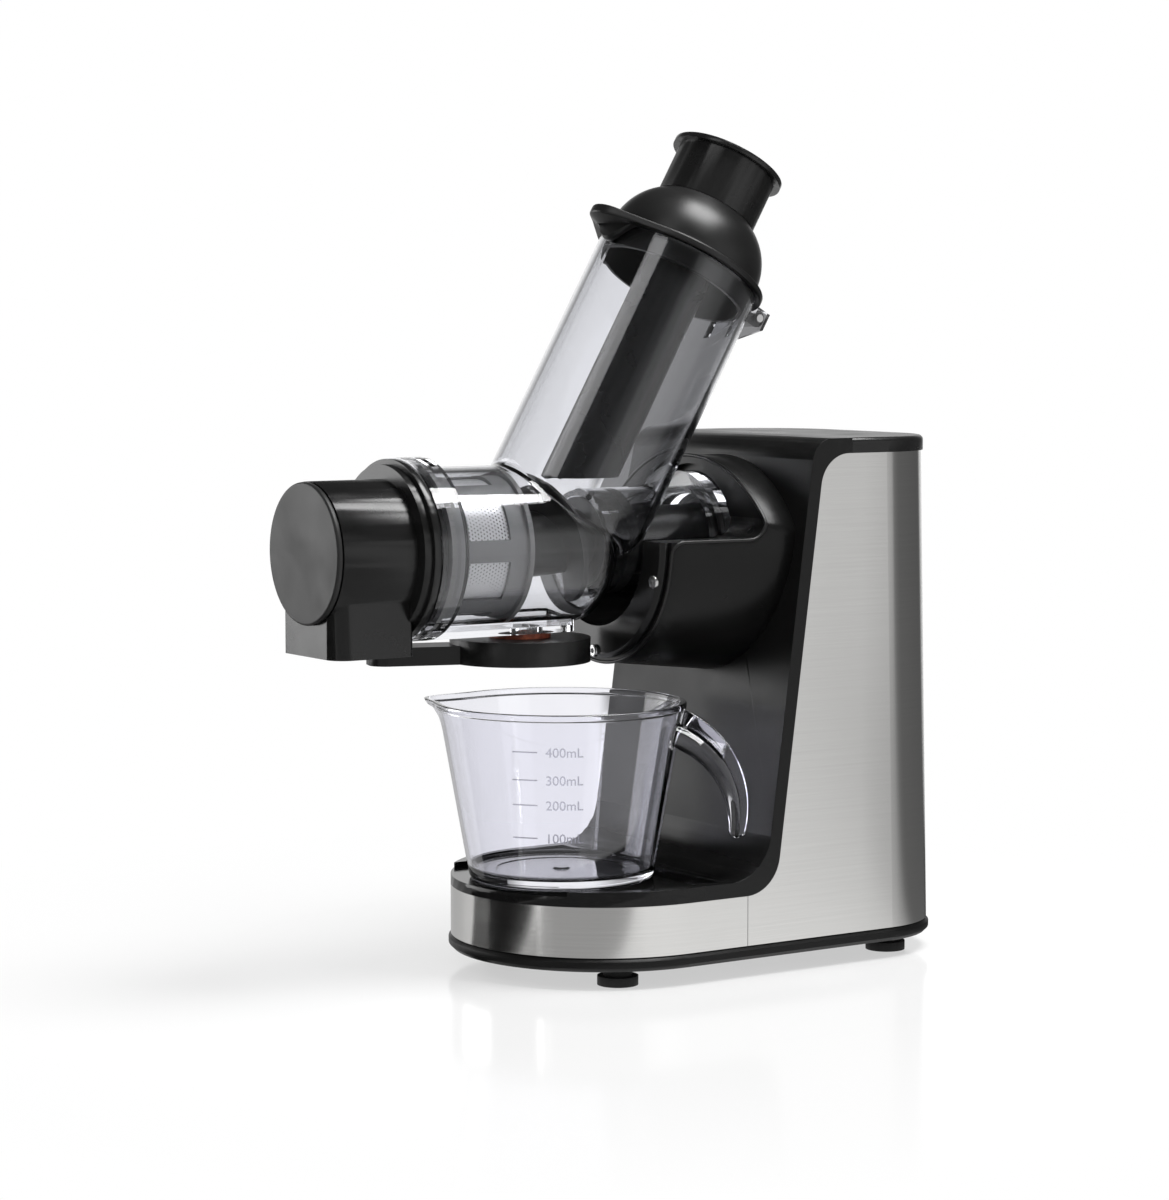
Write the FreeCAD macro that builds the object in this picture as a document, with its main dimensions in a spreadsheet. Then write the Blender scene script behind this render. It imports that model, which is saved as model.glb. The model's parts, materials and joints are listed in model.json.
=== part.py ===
import FreeCAD, Part
import math
import os

import Sketcher

# Horizontal slow juicer. +Z is up, the front faces -Y, the origin is on the floor under the middle of the
# machine. Driving dimensions in millimetres and degrees.
SIZES = {
    # Housing: plan, heights and walls
    "body_width": 150.8,
    "nose_y": -3.0,
    "rear_low_y": 168.5,
    "rear_high_y": 162.5,
    "rear_corner": 46.0,
    "foot_height": 8.7,
    "plate_thick": 6.9,
    "plate_overhang": 1.1,
    "plate_edge": 2.0,
    "band_height": 24.5,
    "rim_height": 7.3,
    "steel_gauge": 1.0,
    "seam_y": 32.2,
    "tower_height": 254.5,
    "cap_thick": 7.5,
    "cap_seam_y": 95.0,
    "cap_edge": 2.5,
    "shell_wall": 3.0,
    "face_base_y": 43.3,
    "face_lean": 7.62,
    "trim_width": 7.0,
    "tray_fillet": 24.0,
    "steel_fillet": 20.0,
    "face_top_round": 12.0,
    "steel_top_round": 17.0,
    "tray_recess": 2.4,
    "tray_lip": 6.0,
    "tray_gap_half": 52.0,
    "tray_gap_y": -38.0,
    "window_half": 26.0,
    "window_sill": 45.0,
    "cover_proud": 1.2,
    "cover_flange": 3.0,
    "panel_gap": 0.3,
    # Feet
    "foot_radius": 10.0,
    "foot_neck": 7.0,
    "foot_disc": 4.5,
    "foot_x": 53.4,
    "foot_front_y": -29.3,
    "foot_rear_y": 135.5,
    # Vents
    "vent_width": 4.0,
    "vent_half": 24.0,
    "vent_pitch": 9.0,
    "plate_vent_y": 70.0,
    "cover_vent_z": 150.0,
    "cover_vent_half": 18.0,
    # Drum axis and feed tube axis
    "axis_z": 210.7,
    "feed_y": -34.8,
    "feed_tilt": 30.0,
    # Drum
    "drum_front_y": -121.0,
    "flange_length": 14.0,
    "flange_radius": 44.0,
    "barrel_radius": 39.0,
    "barrel_end_y": -14.0,
    "barrel_round": 12.0,
    "drum_wall": 3.0,
    "neck_radius": 26.0,
    "neck_end_y": 53.0,
    "bayonet_radius": 33.5,
    "bayonet_length": 9.0,
    "lug_height": 3.0,
    "lug_length": 4.5,
    "lug_half_angle": 7.0,
    "lug_angle": -30.0,
    "twist": 18.0,
    "gutter_half": 14.0,
    "gutter_z": 168.0,
    "gutter_rear_y": -26.0,
    "outlet_y": -51.0,
    "outlet_radius": 12.0,
    "outlet_bottom_z": 160.0,
    # Feed tube
    "tube_radius": 41.9,
    "tube_top": 155.3,
    "bowl_centre": 44.0,
    "bowl_radius": 52.0,
    "bowl_round": 24.0,
    "saddle_round": 8.0,
    # Hinge of the lid
    "hinge_out": 49.0,
    "hinge_drop": 0.3,
    "hinge_eye": 4.5,
    "hinge_pin_radius": 2.0,
    "ear_inner": 7.5,
    "ear_thick": 4.5,
    # Lid
    "lid_flange_radius": 45.0,
    "lid_flange_thick": 3.3,
    "dome_foot": 8.0,
    "dome_base_radius": 39.7,
    "dome_top": 188.0,
    "dome_neck_radius": 26.3,
    "dome_curve": 90.0,
    "lid_wall": 2.5,
    "tab_reach": 57.5,
    "tab_half": 18.0,
    "tab_hook": 11.0,
    "tab_slot": 6.0,
    # Pusher
    "pusher_radius": 17.5,
    "pusher_wall": 2.4,
    "pusher_head_radius": 25.9,
    "pusher_top": 217.0,
    "pusher_rim_radius": 29.3,
    "pusher_rim_thick": 2.6,
    "pusher_end_z": 242.5,
    # Front cap and pulp chute
    "cap_front_y": -168.0,
    "cap_radius": 34.0,
    "cap_ring_radius": 43.5,
    "cap_ring_y": -129.0,
    "cap_wall": 2.6,
    "spigot_length": 6.0,
    "chute_half": 25.5,
    "chute_rear_y": -126.0,
    "chute_bottom_z": 162.0,
    "chute_corner": 9.0,
    "chute_edge": 2.5,
    "face_disc_radius": 33.7,
    "face_disc_thick": 3.2,
    "face_disc_round": 1.2,
    "face_disc_groove": 0.8,
    # Strainer
    "strainer_radius": 34.0,
    "strainer_wall": 1.6,
    "strainer_front_y": -113.0,
    "strainer_rear_y": -66.0,
    "strainer_margin": 12.0,
    "strainer_half_angle": 17.0,
    "strainer_band": 5.0,
    "mesh_gauge": 0.7,
    # Auger
    "auger_radius": 29.0,
    "auger_front_y": -125.0,
    "auger_rear_y": -11.0,
    "core_front": 21.0,
    "core_rear": 14.0,
    "flight_pitch": 36.0,
    "flight_root": 8.0,
    "flight_tip": 3.0,
    "flight_turns": 2.5,
    "hex_flats": 16.0,
    "hex_end_y": 26.0,
    # Drive socket and output shaft
    "socket_radius": 17.0,
    "socket_front_y": 6.0,
    "socket_rear_y": 50.0,
    "shaft_radius": 7.0,
    "shaft_front_y": 32.0,
    # Collar
    "collar_front_y": -7.0,
    "collar_front_radius": 60.0,
    "collar_back_radius": 68.0,
    "collar_ring_thick": 4.0,
    "collar_ring_radius": 58.0,
    "collar_bore": 42.0,
    "collar_shelf": 2.3,
    "hood_y": 50.0,
    "hood_round": 10.0,
    "hood_radius": 84.0,
    "hood_centre_z": 168.0,
    "socket_floor_y": 55.0,
    "lip_thick": 4.5,
    "seal_radius": 20.0,
    "collar_screw_circle": 54.5,
    "screw_head": 3.2,
    "screw_shank": 1.7,
    # Gear case and gears
    "case_front_y": 76.0,
    "case_plate": 4.0,
    "case_gap": 26.0,
    "case_half": 44.0,
    "case_low_z": 94.0,
    "case_high_z": 252.0,
    "case_corner": 10.0,
    "post_radius": 5.0,
    "post_inset": 8.5,
    "output_teeth": 50,
    "idler_pinion_teeth": 14,
    "idler_gear_teeth": 48,
    "motor_teeth": 12,
    "output_module": 1.5,
    "motor_module": 1.25,
    "gear_backlash": 0.3,
    "output_gear_width": 9.0,
    "idler_gear_width": 7.0,
    "gear_space": 2.0,
    "bush_wall": 4.0,
    "axle_radius": 4.0,
    # Motor
    "motor_radius": 36.0,
    "motor_length": 42.0,
    "motor_wall": 3.0,
    "motor_end": 6.0,
    "stator_bore": 25.5,
    "rotor_gap": 0.7,
    "core_inset": 5.0,
    # Juice sieve
    "sieve_radius": 34.5,
    "sieve_bottom_z": 153.7,
    "sieve_top_z": 165.5,
    "sieve_wall": 2.5,
    "sieve_handle": 76.0,
    "sieve_handle_half": 11.0,
    "sieve_handle_thick": 9.0,
    "sieve_turn": -18.0,
    # Jug
    "jug_y": -27.0,
    "jug_turn": -49.0,
    "jug_base_radius": 45.5,
    "jug_rim_radius": 61.2,
    "jug_rim_z": 132.4,
    "jug_wall": 2.4,
    "jug_floor": 4.2,
    "jug_bead": 1.6,
    "spout_reach": 71.0,
    "spout_half": 17.0,
    "spout_drop": 15.0,
    "handle_tip_out": 93.5,
    "handle_tip_z": 68.0,
    "handle_root": 21.0,
    "handle_half": 6.5,
    "handle_thick": 8.0,
    "handle_outer_curve": 50.0,
    "handle_inner_curve": 41.0,
    # Switch and cord inlet
    "switch_z": 88.0,
    "switch_half_x": 13.0,
    "switch_half_z": 9.0,
    "switch_frame": 2.5,
    "rocker_tilt": 11.0,
    "rocker_pin": 2.0,
    "gland_z": 62.0,
    "gland_radius": 8.0,
    "gland_bore": 4.2,
    "console_face_y": 169.4,
    # Clearances
    "run_gap": 0.05,
    "free_gap": 0.3,
    "seat_gap": 0.2,
}

HEX_SIDES = 6
COLLAR_SCREW_ANGLES = (-18.0, -90.0, -162.0)
LUG_SIDES = (1, -1)
STRAINER_WINDOWS = 7

doc = FreeCAD.newDocument("slow_juicer")
sheet = doc.addObject("Spreadsheet::Sheet", "Sizes")
for row, (alias, number) in enumerate(SIZES.items(), start=1):
    sheet.set(f"A{row}", alias)
    sheet.set(f"B{row}", str(number))
    sheet.setAlias(f"B{row}", alias)
doc.recompute()

PIECES = {}


class Dim:
    """A size that knows its value and the sheet formula it comes from."""

    def __init__(self, value, formula):
        self.value = value
        self.formula = formula

    def __add__(self, other):
        other = dim(other)
        return Dim(self.value + other.value, f"({self.formula} + {other.formula})")

    def __radd__(self, other):
        return dim(other) + self

    def __sub__(self, other):
        other = dim(other)
        return Dim(self.value - other.value, f"({self.formula} - {other.formula})")

    def __rsub__(self, other):
        return dim(other) - self

    def __mul__(self, other):
        other = dim(other)
        return Dim(self.value * other.value, f"({self.formula} * {other.formula})")

    def __rmul__(self, other):
        return dim(other) * self

    def __truediv__(self, other):
        other = dim(other)
        return Dim(self.value / other.value, f"({self.formula} / {other.formula})")

    def __neg__(self):
        return Dim(-self.value, f"(0 - {self.formula})")


def dim(number):
    """Any number as a Dim."""
    if isinstance(number, Dim):
        return number
    return Dim(float(number), f"({number})")


def size(alias):
    """The Dim of one cell of the sheet."""
    return Dim(float(SIZES[alias]), f"Sizes.{alias}")


def sine(angle):
    return Dim(math.sin(math.radians(angle.value)), f"sin({angle.formula})")


def cosine(angle):
    return Dim(math.cos(math.radians(angle.value)), f"cos({angle.formula})")


def tangent(angle):
    return Dim(math.tan(math.radians(angle.value)), f"tan({angle.formula})")


def root(square):
    return Dim(math.sqrt(square.value), f"sqrt({square.formula})")


class Arc:
    """Marks that an outline runs to its next point on an arc, turning left or right."""

    def __init__(self, radius, left):
        self.radius = dim(radius)
        self.left = left


class Circle:
    """A full circle in a sketch."""

    def __init__(self, across, up, radius):
        self.across = dim(across)
        self.up = dim(up)
        self.radius = dim(radius)


def bind(target, prop, value):
    """Tie a property to the sheet."""
    target.setExpression(prop, dim(value).formula)


def fix_point(sketch, geometry, end, point):
    """Hold one end of a sketch curve at its distances from the sketch origin."""
    for kind, distance in zip(("DistanceX", "DistanceY"), point):
        index = sketch.addConstraint(Sketcher.Constraint(kind, -1, 1, geometry, end, distance.value))
        bind(sketch, f"Constraints[{index}]", distance)


def draw_circle(sketch, circle):
    centre = FreeCAD.Vector(circle.across.value, circle.up.value, 0)
    shape = Part.Circle(centre, FreeCAD.Vector(0, 0, 1), circle.radius.value)
    geometry = sketch.addGeometry(shape, False)
    fix_point(sketch, geometry, 3, (circle.across, circle.up))
    index = sketch.addConstraint(Sketcher.Constraint("Radius", geometry, circle.radius.value))
    bind(sketch, f"Constraints[{index}]", circle.radius)


def arc_between(start, end, arc):
    """The minor arc from start to end, and whether it runs backwards in the sketch."""
    if not arc.left:
        start, end = end, start
    chord = end - start
    half = chord.Length / 2
    rise = math.sqrt(max(arc.radius.value ** 2 - half ** 2, 0.0))
    across = FreeCAD.Vector(-chord.y, chord.x, 0).normalize()
    centre = (start + end) * 0.5 + across * rise
    first = math.atan2(start.y - centre.y, start.x - centre.x)
    last = math.atan2(end.y - centre.y, end.x - centre.x)
    if last < first:
        last += 2 * math.pi
    circle = Part.Circle(centre, FreeCAD.Vector(0, 0, 1), arc.radius.value)
    return Part.ArcOfCircle(circle, first, last), not arc.left


def draw_outline(sketch, outline):
    """A closed outline of points, with arcs where an Arc stands between two points."""
    points = [(dim(item[0]), dim(item[1])) for item in outline if not isinstance(item, Arc)]
    arcs = {}
    index = -1
    for item in outline:
        if isinstance(item, Arc):
            arcs[index] = item
        else:
            index += 1
    places = [FreeCAD.Vector(across.value, up.value, 0) for across, up in points]
    count = len(points)
    ends = []
    for step in range(count):
        start, end = places[step], places[(step + 1) % count]
        if step in arcs:
            curve, backwards = arc_between(start, end, arcs[step])
        else:
            curve, backwards = Part.LineSegment(start, end), False
        geometry = sketch.addGeometry(curve, False)
        ends.append((geometry, 2, 1) if backwards else (geometry, 1, 2))
        if step in arcs:
            held = sketch.addConstraint(Sketcher.Constraint("Radius", geometry, arcs[step].radius.value))
            bind(sketch, f"Constraints[{held}]", arcs[step].radius)
    for step in range(count):
        geometry, _, last = ends[step]
        following, first, _ = ends[(step + 1) % count]
        sketch.addConstraint(Sketcher.Constraint("Coincident", geometry, last, following, first))
    for step in range(count):
        fix_point(sketch, ends[step][0], ends[step][1], points[step])


class Piece:
    """One sub-part: a body with its own sketches and features."""

    def __init__(self, name, keep=True):
        self.name = name
        self.body = doc.addObject("PartDesign::Body", name)
        self.body.Label = name
        self.planes = {feature.Role: feature for feature in self.body.Origin.OriginFeatures}
        if keep:
            PIECES[name] = self.body

    def sketch(self, plane, outlines, origin=(0, 0, 0), turn=None, tilt=None):
        """A sketch on an origin plane, shifted, and turned in its plane or tilted about X."""
        sketch = self.body.newObject("Sketcher::SketchObject", f"{self.name}_sketch")
        sketch.AttachmentSupport = (self.planes[plane], [""])
        sketch.MapMode = "FlatFace"
        if turn is not None:
            sketch.AttachmentOffset = FreeCAD.Placement(
                FreeCAD.Vector(), FreeCAD.Rotation(FreeCAD.Vector(0, 0, 1), turn.value))
            bind(sketch, ".AttachmentOffset.Rotation.Angle", turn)
        if tilt is not None:
            sketch.AttachmentOffset = FreeCAD.Placement(
                FreeCAD.Vector(), FreeCAD.Rotation(FreeCAD.Vector(-1, 0, 0), tilt.value))
            bind(sketch, ".AttachmentOffset.Rotation.Angle", tilt)
        for letter, shift in zip("xyz", origin):
            bind(sketch, f".AttachmentOffset.Base.{letter}", shift)
        for outline in outlines:
            if isinstance(outline, Circle):
                draw_circle(sketch, outline)
            else:
                draw_outline(sketch, outline)
        return sketch

    def feature(self, kind, sketch):
        feature = self.body.newObject(f"PartDesign::{kind}", f"{self.name}_{kind.lower()}")
        feature.Profile = sketch
        return feature

    def grown(self, feature, sign):
        """Recompute, and see that the feature really added or removed material."""
        before = feature.BaseFeature.Shape.Volume if feature.BaseFeature else 0.0
        doc.recompute()
        change = (feature.Shape.Volume - before) * sign
        if change <= 0:
            raise RuntimeError(f"{feature.Name} changed nothing")
        return feature

    def pad(self, sketch, length, both=False, back=False):
        feature = self.feature("Pad", sketch)
        if both:
            feature.SideType = "Symmetric"
        feature.Reversed = back
        bind(feature, "Length", length)
        return self.grown(feature, 1)

    def pocket(self, sketch, length, both=False, ahead=False):
        """Cut against the sketch normal, along it (ahead) or to both sides."""
        feature = self.feature("Pocket", sketch)
        if both:
            feature.SideType = "Symmetric"
        feature.Reversed = ahead
        bind(feature, "Length", length)
        return self.grown(feature, -1)

    def revolve(self, sketch, axis="H_Axis"):
        feature = self.feature("Revolution", sketch)
        feature.ReferenceAxis = (sketch, [axis])
        return self.grown(feature, 1)

    def groove(self, sketch, axis="H_Axis"):
        feature = self.feature("Groove", sketch)
        feature.ReferenceAxis = (sketch, [axis])
        return self.grown(feature, -1)

    def loft(self, low, high):
        feature = self.feature("AdditiveLoft", low)
        feature.Sections = [high]
        feature.Ruled = True
        return self.grown(feature, 1)

    def hollow_loft(self, low, high):
        feature = self.feature("SubtractiveLoft", low)
        feature.Sections = [high]
        feature.Ruled = True
        return self.grown(feature, -1)

    def fillet(self, radius, chosen):
        """Round the edges that the test picks."""
        base = self.body.Tip
        names = [f"Edge{number}" for number, edge in enumerate(base.Shape.Edges, start=1) if chosen(edge)]
        if not names:
            raise RuntimeError(f"{self.name} has no such edge to round")
        feature = self.body.newObject("PartDesign::Fillet", f"{self.name}_fillet")
        feature.Base = (base, names)
        bind(feature, "Radius", radius)
        doc.recompute()
        return feature

    def chamfer(self, width, chosen):
        """Bevel the edges that the test picks."""
        base = self.body.Tip
        names = [f"Edge{number}" for number, edge in enumerate(base.Shape.Edges, start=1) if chosen(edge)]
        feature = self.body.newObject("PartDesign::Chamfer", f"{self.name}_chamfer")
        feature.Base = (base, names)
        bind(feature, "Size", width)
        doc.recompute()
        return feature

    def row_of(self, feature, plane_axis, span, count):
        """Repeat a feature along an origin axis."""
        pattern = self.body.newObject("PartDesign::LinearPattern", f"{self.name}_row")
        pattern.Originals = [feature]
        pattern.Direction = (self.planes[plane_axis], [""])
        bind(pattern, "Length", span)
        pattern.Occurrences = count
        self.body.Tip = pattern
        doc.recompute()
        return pattern


def rectangle(left, low, right, high):
    return [(left, low), (right, low), (right, high), (left, high)]


def uneven_rectangle(left, low, right, high, corners):
    """A rectangle with a radius for each corner, anticlockwise from the lower left."""
    first, second, third, fourth = corners
    return [
        (left + first, low), (right - second, low), Arc(second, True), (right, low + second),
        (right, high - third), Arc(third, True), (right - third, high),
        (left + fourth, high), Arc(fourth, True), (left, high - fourth),
        (left, low + first), Arc(first, True),
    ]


def rounded_rectangle(left, low, right, high, corner):
    """A rectangle with four equal round corners."""
    return uneven_rectangle(left, low, right, high, (corner, corner, corner, corner))


def ring_between(inner, outer):
    return [Circle(0, 0, outer), Circle(0, 0, inner)]


def at_height(height):
    return (0, 0, height)


def across_y(depth):
    """Sketch origin on the drum axis, in a plane across it; the plane's normal is -Y."""
    return (0, size("axis_z"), -dim(depth))


def along_drum():
    """Sketch origin for profiles of (Y, radius) round the drum axis."""
    return (0, size("axis_z"), 0)


def along_feed():
    """Sketch origin for profiles of (distance along, radius) round the feed tube axis."""
    return (size("feed_y"), size("axis_z"), 0)


FEED_TURN = 90 - size("feed_tilt")


def across_feed(distance):
    """Sketch origin on the feed tube axis, in a plane across it."""
    tilt = size("feed_tilt")
    return (0, size("feed_y") + distance * sine(tilt), size("axis_z") + distance * cosine(tilt))


HALF = size("body_width") / 2
PLATE_LOW = size("foot_height")
PLATE_TOP = PLATE_LOW + size("plate_thick")
BAND_TOP = PLATE_TOP + size("band_height")
RIM_TOP = BAND_TOP + size("rim_height")
TRAY_FLOOR = RIM_TOP - size("tray_recess")
TOWER_TOP = size("tower_height")
CAP_TOP = TOWER_TOP + size("cap_thick")
FAR = dim(400)


def face_y(height, offset=0):
    """Y of the leaning tower front at a height."""
    return size("face_base_y") + offset + (height - RIM_TOP) * tangent(size("face_lean"))


def rear_y(height, offset=0):
    """Y of the leaning steel rear at a height."""
    share = (height - PLATE_TOP) / (TOWER_TOP - PLATE_TOP)
    return size("rear_low_y") + offset + (size("rear_high_y") - size("rear_low_y")) * share


def nose_plan(half, rear, inset=0):
    """Plan with a half-round nose and straight sides back to a square end."""
    nose = size("nose_y")
    reach = half - inset
    return [
        (-reach, rear), (-reach, nose), Arc(reach, True), (0, nose - reach), Arc(reach, True),
        (reach, nose), (reach, rear),
    ]


def tail_plan(half, front, rear, corner):
    """Plan with a square front end and two round rear corners."""
    return [
        (-half, front), (half, front), (half, rear - corner), Arc(corner, True), (half - corner, rear),
        (corner - half, rear), Arc(corner, True), (-half, rear - corner),
    ]


def whole_plan(half, rear, corner):
    """Plan with a half-round nose and two round rear corners."""
    nose = size("nose_y")
    return [
        (-half, nose), Arc(half, True), (0, nose - half), Arc(half, True), (half, nose),
        (half, rear - corner), Arc(corner, True), (half - corner, rear),
        (corner - half, rear), Arc(corner, True), (-half, rear - corner),
    ]


def lean_line(offset, floor, ceiling, low_round, high_round):
    """The L-shaped line of the front seen from the side: floor, fillet, leaning face, round, ceiling."""
    lean = size("face_lean")
    share = tangent((90 - lean) / 2)
    low = low_round * share
    high = high_round * share
    foot = face_y(floor, offset)
    top = face_y(ceiling, offset)
    return [
        (foot - low, floor), Arc(low_round, True),
        (foot + low * sine(lean), floor + low * cosine(lean)),
        (top - high * sine(lean), ceiling - high * cosine(lean)), Arc(high_round, False),
        (top + high, ceiling),
    ]


def make_base_plate():
    """Black plate under the machine, with air slots under the tower."""
    plate = Piece("base_plate")
    half = HALF + size("plate_overhang")
    rear = size("rear_low_y") + size("plate_overhang")
    outline = whole_plan(half, rear, size("rear_corner") + size("plate_overhang"))
    plate.pad(plate.sketch("XY_Plane", [outline], at_height(PLATE_LOW)), size("plate_thick"))
    plate.chamfer(size("plate_edge"), lambda edge: abs(edge.BoundBox.ZLength) < 1e-6)
    slot = rectangle(-size("vent_half"), size("plate_vent_y"), size("vent_half"),
                     size("plate_vent_y") + size("vent_width"))
    cut = plate.pocket(plate.sketch("XY_Plane", [slot], at_height(PLATE_TOP)), size("plate_thick"))
    plate.row_of(cut, "Y_Axis", size("vent_pitch") * 5, 6)


def make_feet():
    """Four rubber feet: a disc on a narrower neck."""
    profile = [
        (0, 0), (size("foot_radius"), 0), (size("foot_radius"), size("foot_disc")),
        (size("foot_neck"), size("foot_disc")), (size("foot_neck"), size("foot_height")),
        (0, size("foot_height")),
    ]
    solids = []
    for side in (-1, 1):
        for place in ("foot_front_y", "foot_rear_y"):
            foot = Piece(f"foot_{len(solids)}", keep=False)
            foot.revolve(foot.sketch("XZ_Plane", [profile]), "V_Axis")
            bind(foot.body, ".Placement.Base.x", size("foot_x") * side)
            bind(foot.body, ".Placement.Base.y", size(place))
            solids.append(foot.body)
    join_group("rubber_feet", solids)


def join_group(name, members):
    """Separate solids that share one node."""
    group = doc.addObject("Part::Compound", name)
    group.Label = name
    group.Links = members
    PIECES[name] = group
    doc.recompute()


def make_front_shell():
    """Black moulding: jug tray, leaning tower front and the trim down both sides."""
    shell = Piece("front_shell")
    plan = nose_plan(HALF, size("cap_seam_y"))
    shell.pad(shell.sketch("XY_Plane", [plan], at_height(BAND_TOP)), CAP_TOP - BAND_TOP)
    front = lean_line(dim(0), RIM_TOP, CAP_TOP, size("tray_fillet"), size("face_top_round"))
    air = [(-FAR, RIM_TOP)] + front + [(front[-1][0], FAR), (-FAR, FAR)]
    shell.pocket(shell.sketch("YZ_Plane", [air]), FAR, both=True)
    back = lean_line(size("trim_width"), BAND_TOP, TOWER_TOP, size("steel_fillet"), size("steel_top_round"))
    room = back + [(FAR, TOWER_TOP), (FAR, BAND_TOP)]
    shell.pocket(shell.sketch("YZ_Plane", [room]), FAR, both=True)
    low = RIM_TOP + size("tray_fillet")
    high = TOWER_TOP
    wall = size("shell_wall")
    hollow = [(face_y(low, wall), low), (FAR, low), (FAR, high), (face_y(high, wall), high)]
    shell.pocket(shell.sketch("YZ_Plane", [hollow]), (HALF - wall) * 2, both=True)
    lip = size("tray_lip")
    floor = nose_plan(HALF, size("face_base_y") - size("tray_fillet"), lip)
    shell.pocket(shell.sketch("XY_Plane", [floor], at_height(RIM_TOP)), size("tray_recess"))
    gap = rectangle(-size("tray_gap_half"), -FAR, size("tray_gap_half"), size("tray_gap_y"))
    shell.pocket(shell.sketch("XY_Plane", [gap], at_height(RIM_TOP)), size("tray_recess"))
    inner = size("steel_gauge") + wall
    skirt = nose_plan(HALF, size("seam_y"), size("steel_gauge"))
    shell.pad(shell.sketch("XY_Plane", [skirt], at_height(PLATE_TOP)), size("band_height"))
    room = shell.sketch("XY_Plane", [nose_plan(HALF, FAR, inner)], at_height(BAND_TOP))
    shell.pocket(room, size("band_height"))
    bore = Circle(0, 0, size("seal_radius") + wall)
    shell.pocket(shell.sketch("XZ_Plane", [bore], across_y(face_y(size("axis_z")))),
                 size("trim_width") * 4, both=True)


def make_front_band():
    """Stainless band round the nose of the base."""
    band = Piece("steel_front_band")
    outer = band.sketch("XY_Plane", [nose_plan(HALF, size("seam_y"))], at_height(PLATE_TOP))
    band.pad(outer, size("band_height"))
    inner = band.sketch("XY_Plane", [nose_plan(HALF, FAR, size("steel_gauge"))], at_height(BAND_TOP))
    band.pocket(inner, size("band_height"))


def make_steel_wrap():
    """Stainless sheet bent round both sides and the back of the tower."""
    wrap = Piece("steel_wrap")
    front = size("seam_y") + size("panel_gap")
    gauge = size("steel_gauge")
    corner = size("rear_corner")
    plans = [wrap.sketch("XY_Plane", [tail_plan(HALF, front, rear_y(height), corner)], at_height(height))
             for height in (PLATE_TOP, TOWER_TOP)]
    wrap.loft(*plans)
    hollow = []
    for height in (PLATE_TOP, TOWER_TOP):
        inside = tail_plan(HALF - gauge, front - corner, rear_y(height, -gauge), corner - gauge)
        hollow.append(wrap.sketch("XY_Plane", [inside], at_height(height)))
    wrap.hollow_loft(*hollow)
    line = lean_line(size("trim_width"), BAND_TOP, TOWER_TOP, size("steel_fillet"), size("steel_top_round"))
    air = [(-FAR, BAND_TOP)] + line + [(line[-1][0], FAR), (-FAR, FAR)]
    wrap.pocket(wrap.sketch("YZ_Plane", [air]), FAR, both=True)
    half = size("window_half")
    corner = size("hood_round")
    sill = size("window_sill")
    window = [
        (half, FAR), (-half, FAR), (-half, sill + corner), Arc(corner, True), (corner - half, sill),
        (half - corner, sill), Arc(corner, True), (half, sill + corner),
    ]
    wrap.pocket(wrap.sketch("XZ_Plane", [window], (0, 0, -(size("cap_seam_y")))), FAR)


def make_top_cap():
    """Black cap that closes the tower behind the front shell."""
    cap = Piece("top_cap")
    rear = size("rear_high_y") + size("cover_proud")
    outline = tail_plan(HALF, size("cap_seam_y"), rear, size("rear_corner"))
    cap.pad(cap.sketch("XY_Plane", [outline], at_height(TOWER_TOP)), size("cap_thick"))
    seam = size("cap_seam_y").value
    cap.fillet(size("cap_edge"), lambda edge: edge.BoundBox.ZMin > CAP_TOP.value - 1e-6
               and edge.BoundBox.YMax > seam + 1e-6)


def make_rear_cover():
    """Black rear cover with air slots, behind a flange that lies inside the steel."""
    cover = Piece("rear_cover")
    gap = size("panel_gap")
    low = size("window_sill") + gap
    wall = size("shell_wall")
    gauge = size("steel_gauge")
    proud = size("cover_proud")
    panel = [(rear_y(low, proud), low), (rear_y(TOWER_TOP, proud), TOWER_TOP),
             (rear_y(TOWER_TOP, -gauge - wall), TOWER_TOP), (rear_y(low, -gauge - wall), low)]
    cover.pad(cover.sketch("YZ_Plane", [panel]), (size("window_half") - gap) * 2, both=True)
    corner = size("hood_round")
    cover.fillet(corner, lambda edge: edge.BoundBox.XLength < 1e-6 and edge.BoundBox.ZMax < low.value + 1e-6
                 and edge.BoundBox.YLength > 1)
    foot = low - size("cover_flange")
    flange = [(rear_y(foot, -gauge), foot), (rear_y(TOWER_TOP, -gauge), TOWER_TOP),
              (rear_y(TOWER_TOP, -gauge - wall), TOWER_TOP), (rear_y(foot, -gauge - wall), foot)]
    cover.pad(cover.sketch("YZ_Plane", [flange]), (size("window_half") + size("cover_flange")) * 2, both=True)
    half_x = size("switch_half_x") + size("switch_frame") * 2
    top = size("switch_z") + size("switch_half_z") + size("switch_frame") * 2
    base = size("gland_z") - size("gland_radius") - size("switch_frame")
    console = [(rear_y(foot, -gauge - wall), base), (size("console_face_y"), base),
               (size("console_face_y"), top), (rear_y(foot, -gauge - wall), top)]
    cover.pad(cover.sketch("YZ_Plane", [console]), half_x * 2, both=True)
    opening = rectangle(-size("switch_half_x"), size("switch_z") - size("switch_half_z"),
                        size("switch_half_x"), size("switch_z") + size("switch_half_z"))
    inlet = Circle(0, size("gland_z"), size("gland_radius") - size("switch_frame"))
    cover.pocket(cover.sketch("XZ_Plane", [opening, inlet], (0, 0, -size("cap_seam_y"))), FAR)
    slot = rectangle(-size("cover_vent_half"), size("cover_vent_z"), size("cover_vent_half"),
                     size("cover_vent_z") + size("vent_width"))
    cut = cover.pocket(cover.sketch("XZ_Plane", [slot], (0, 0, -size("cap_seam_y"))), FAR)
    cover.row_of(cut, "Z_Axis", size("vent_pitch") * 7, 8)


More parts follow.
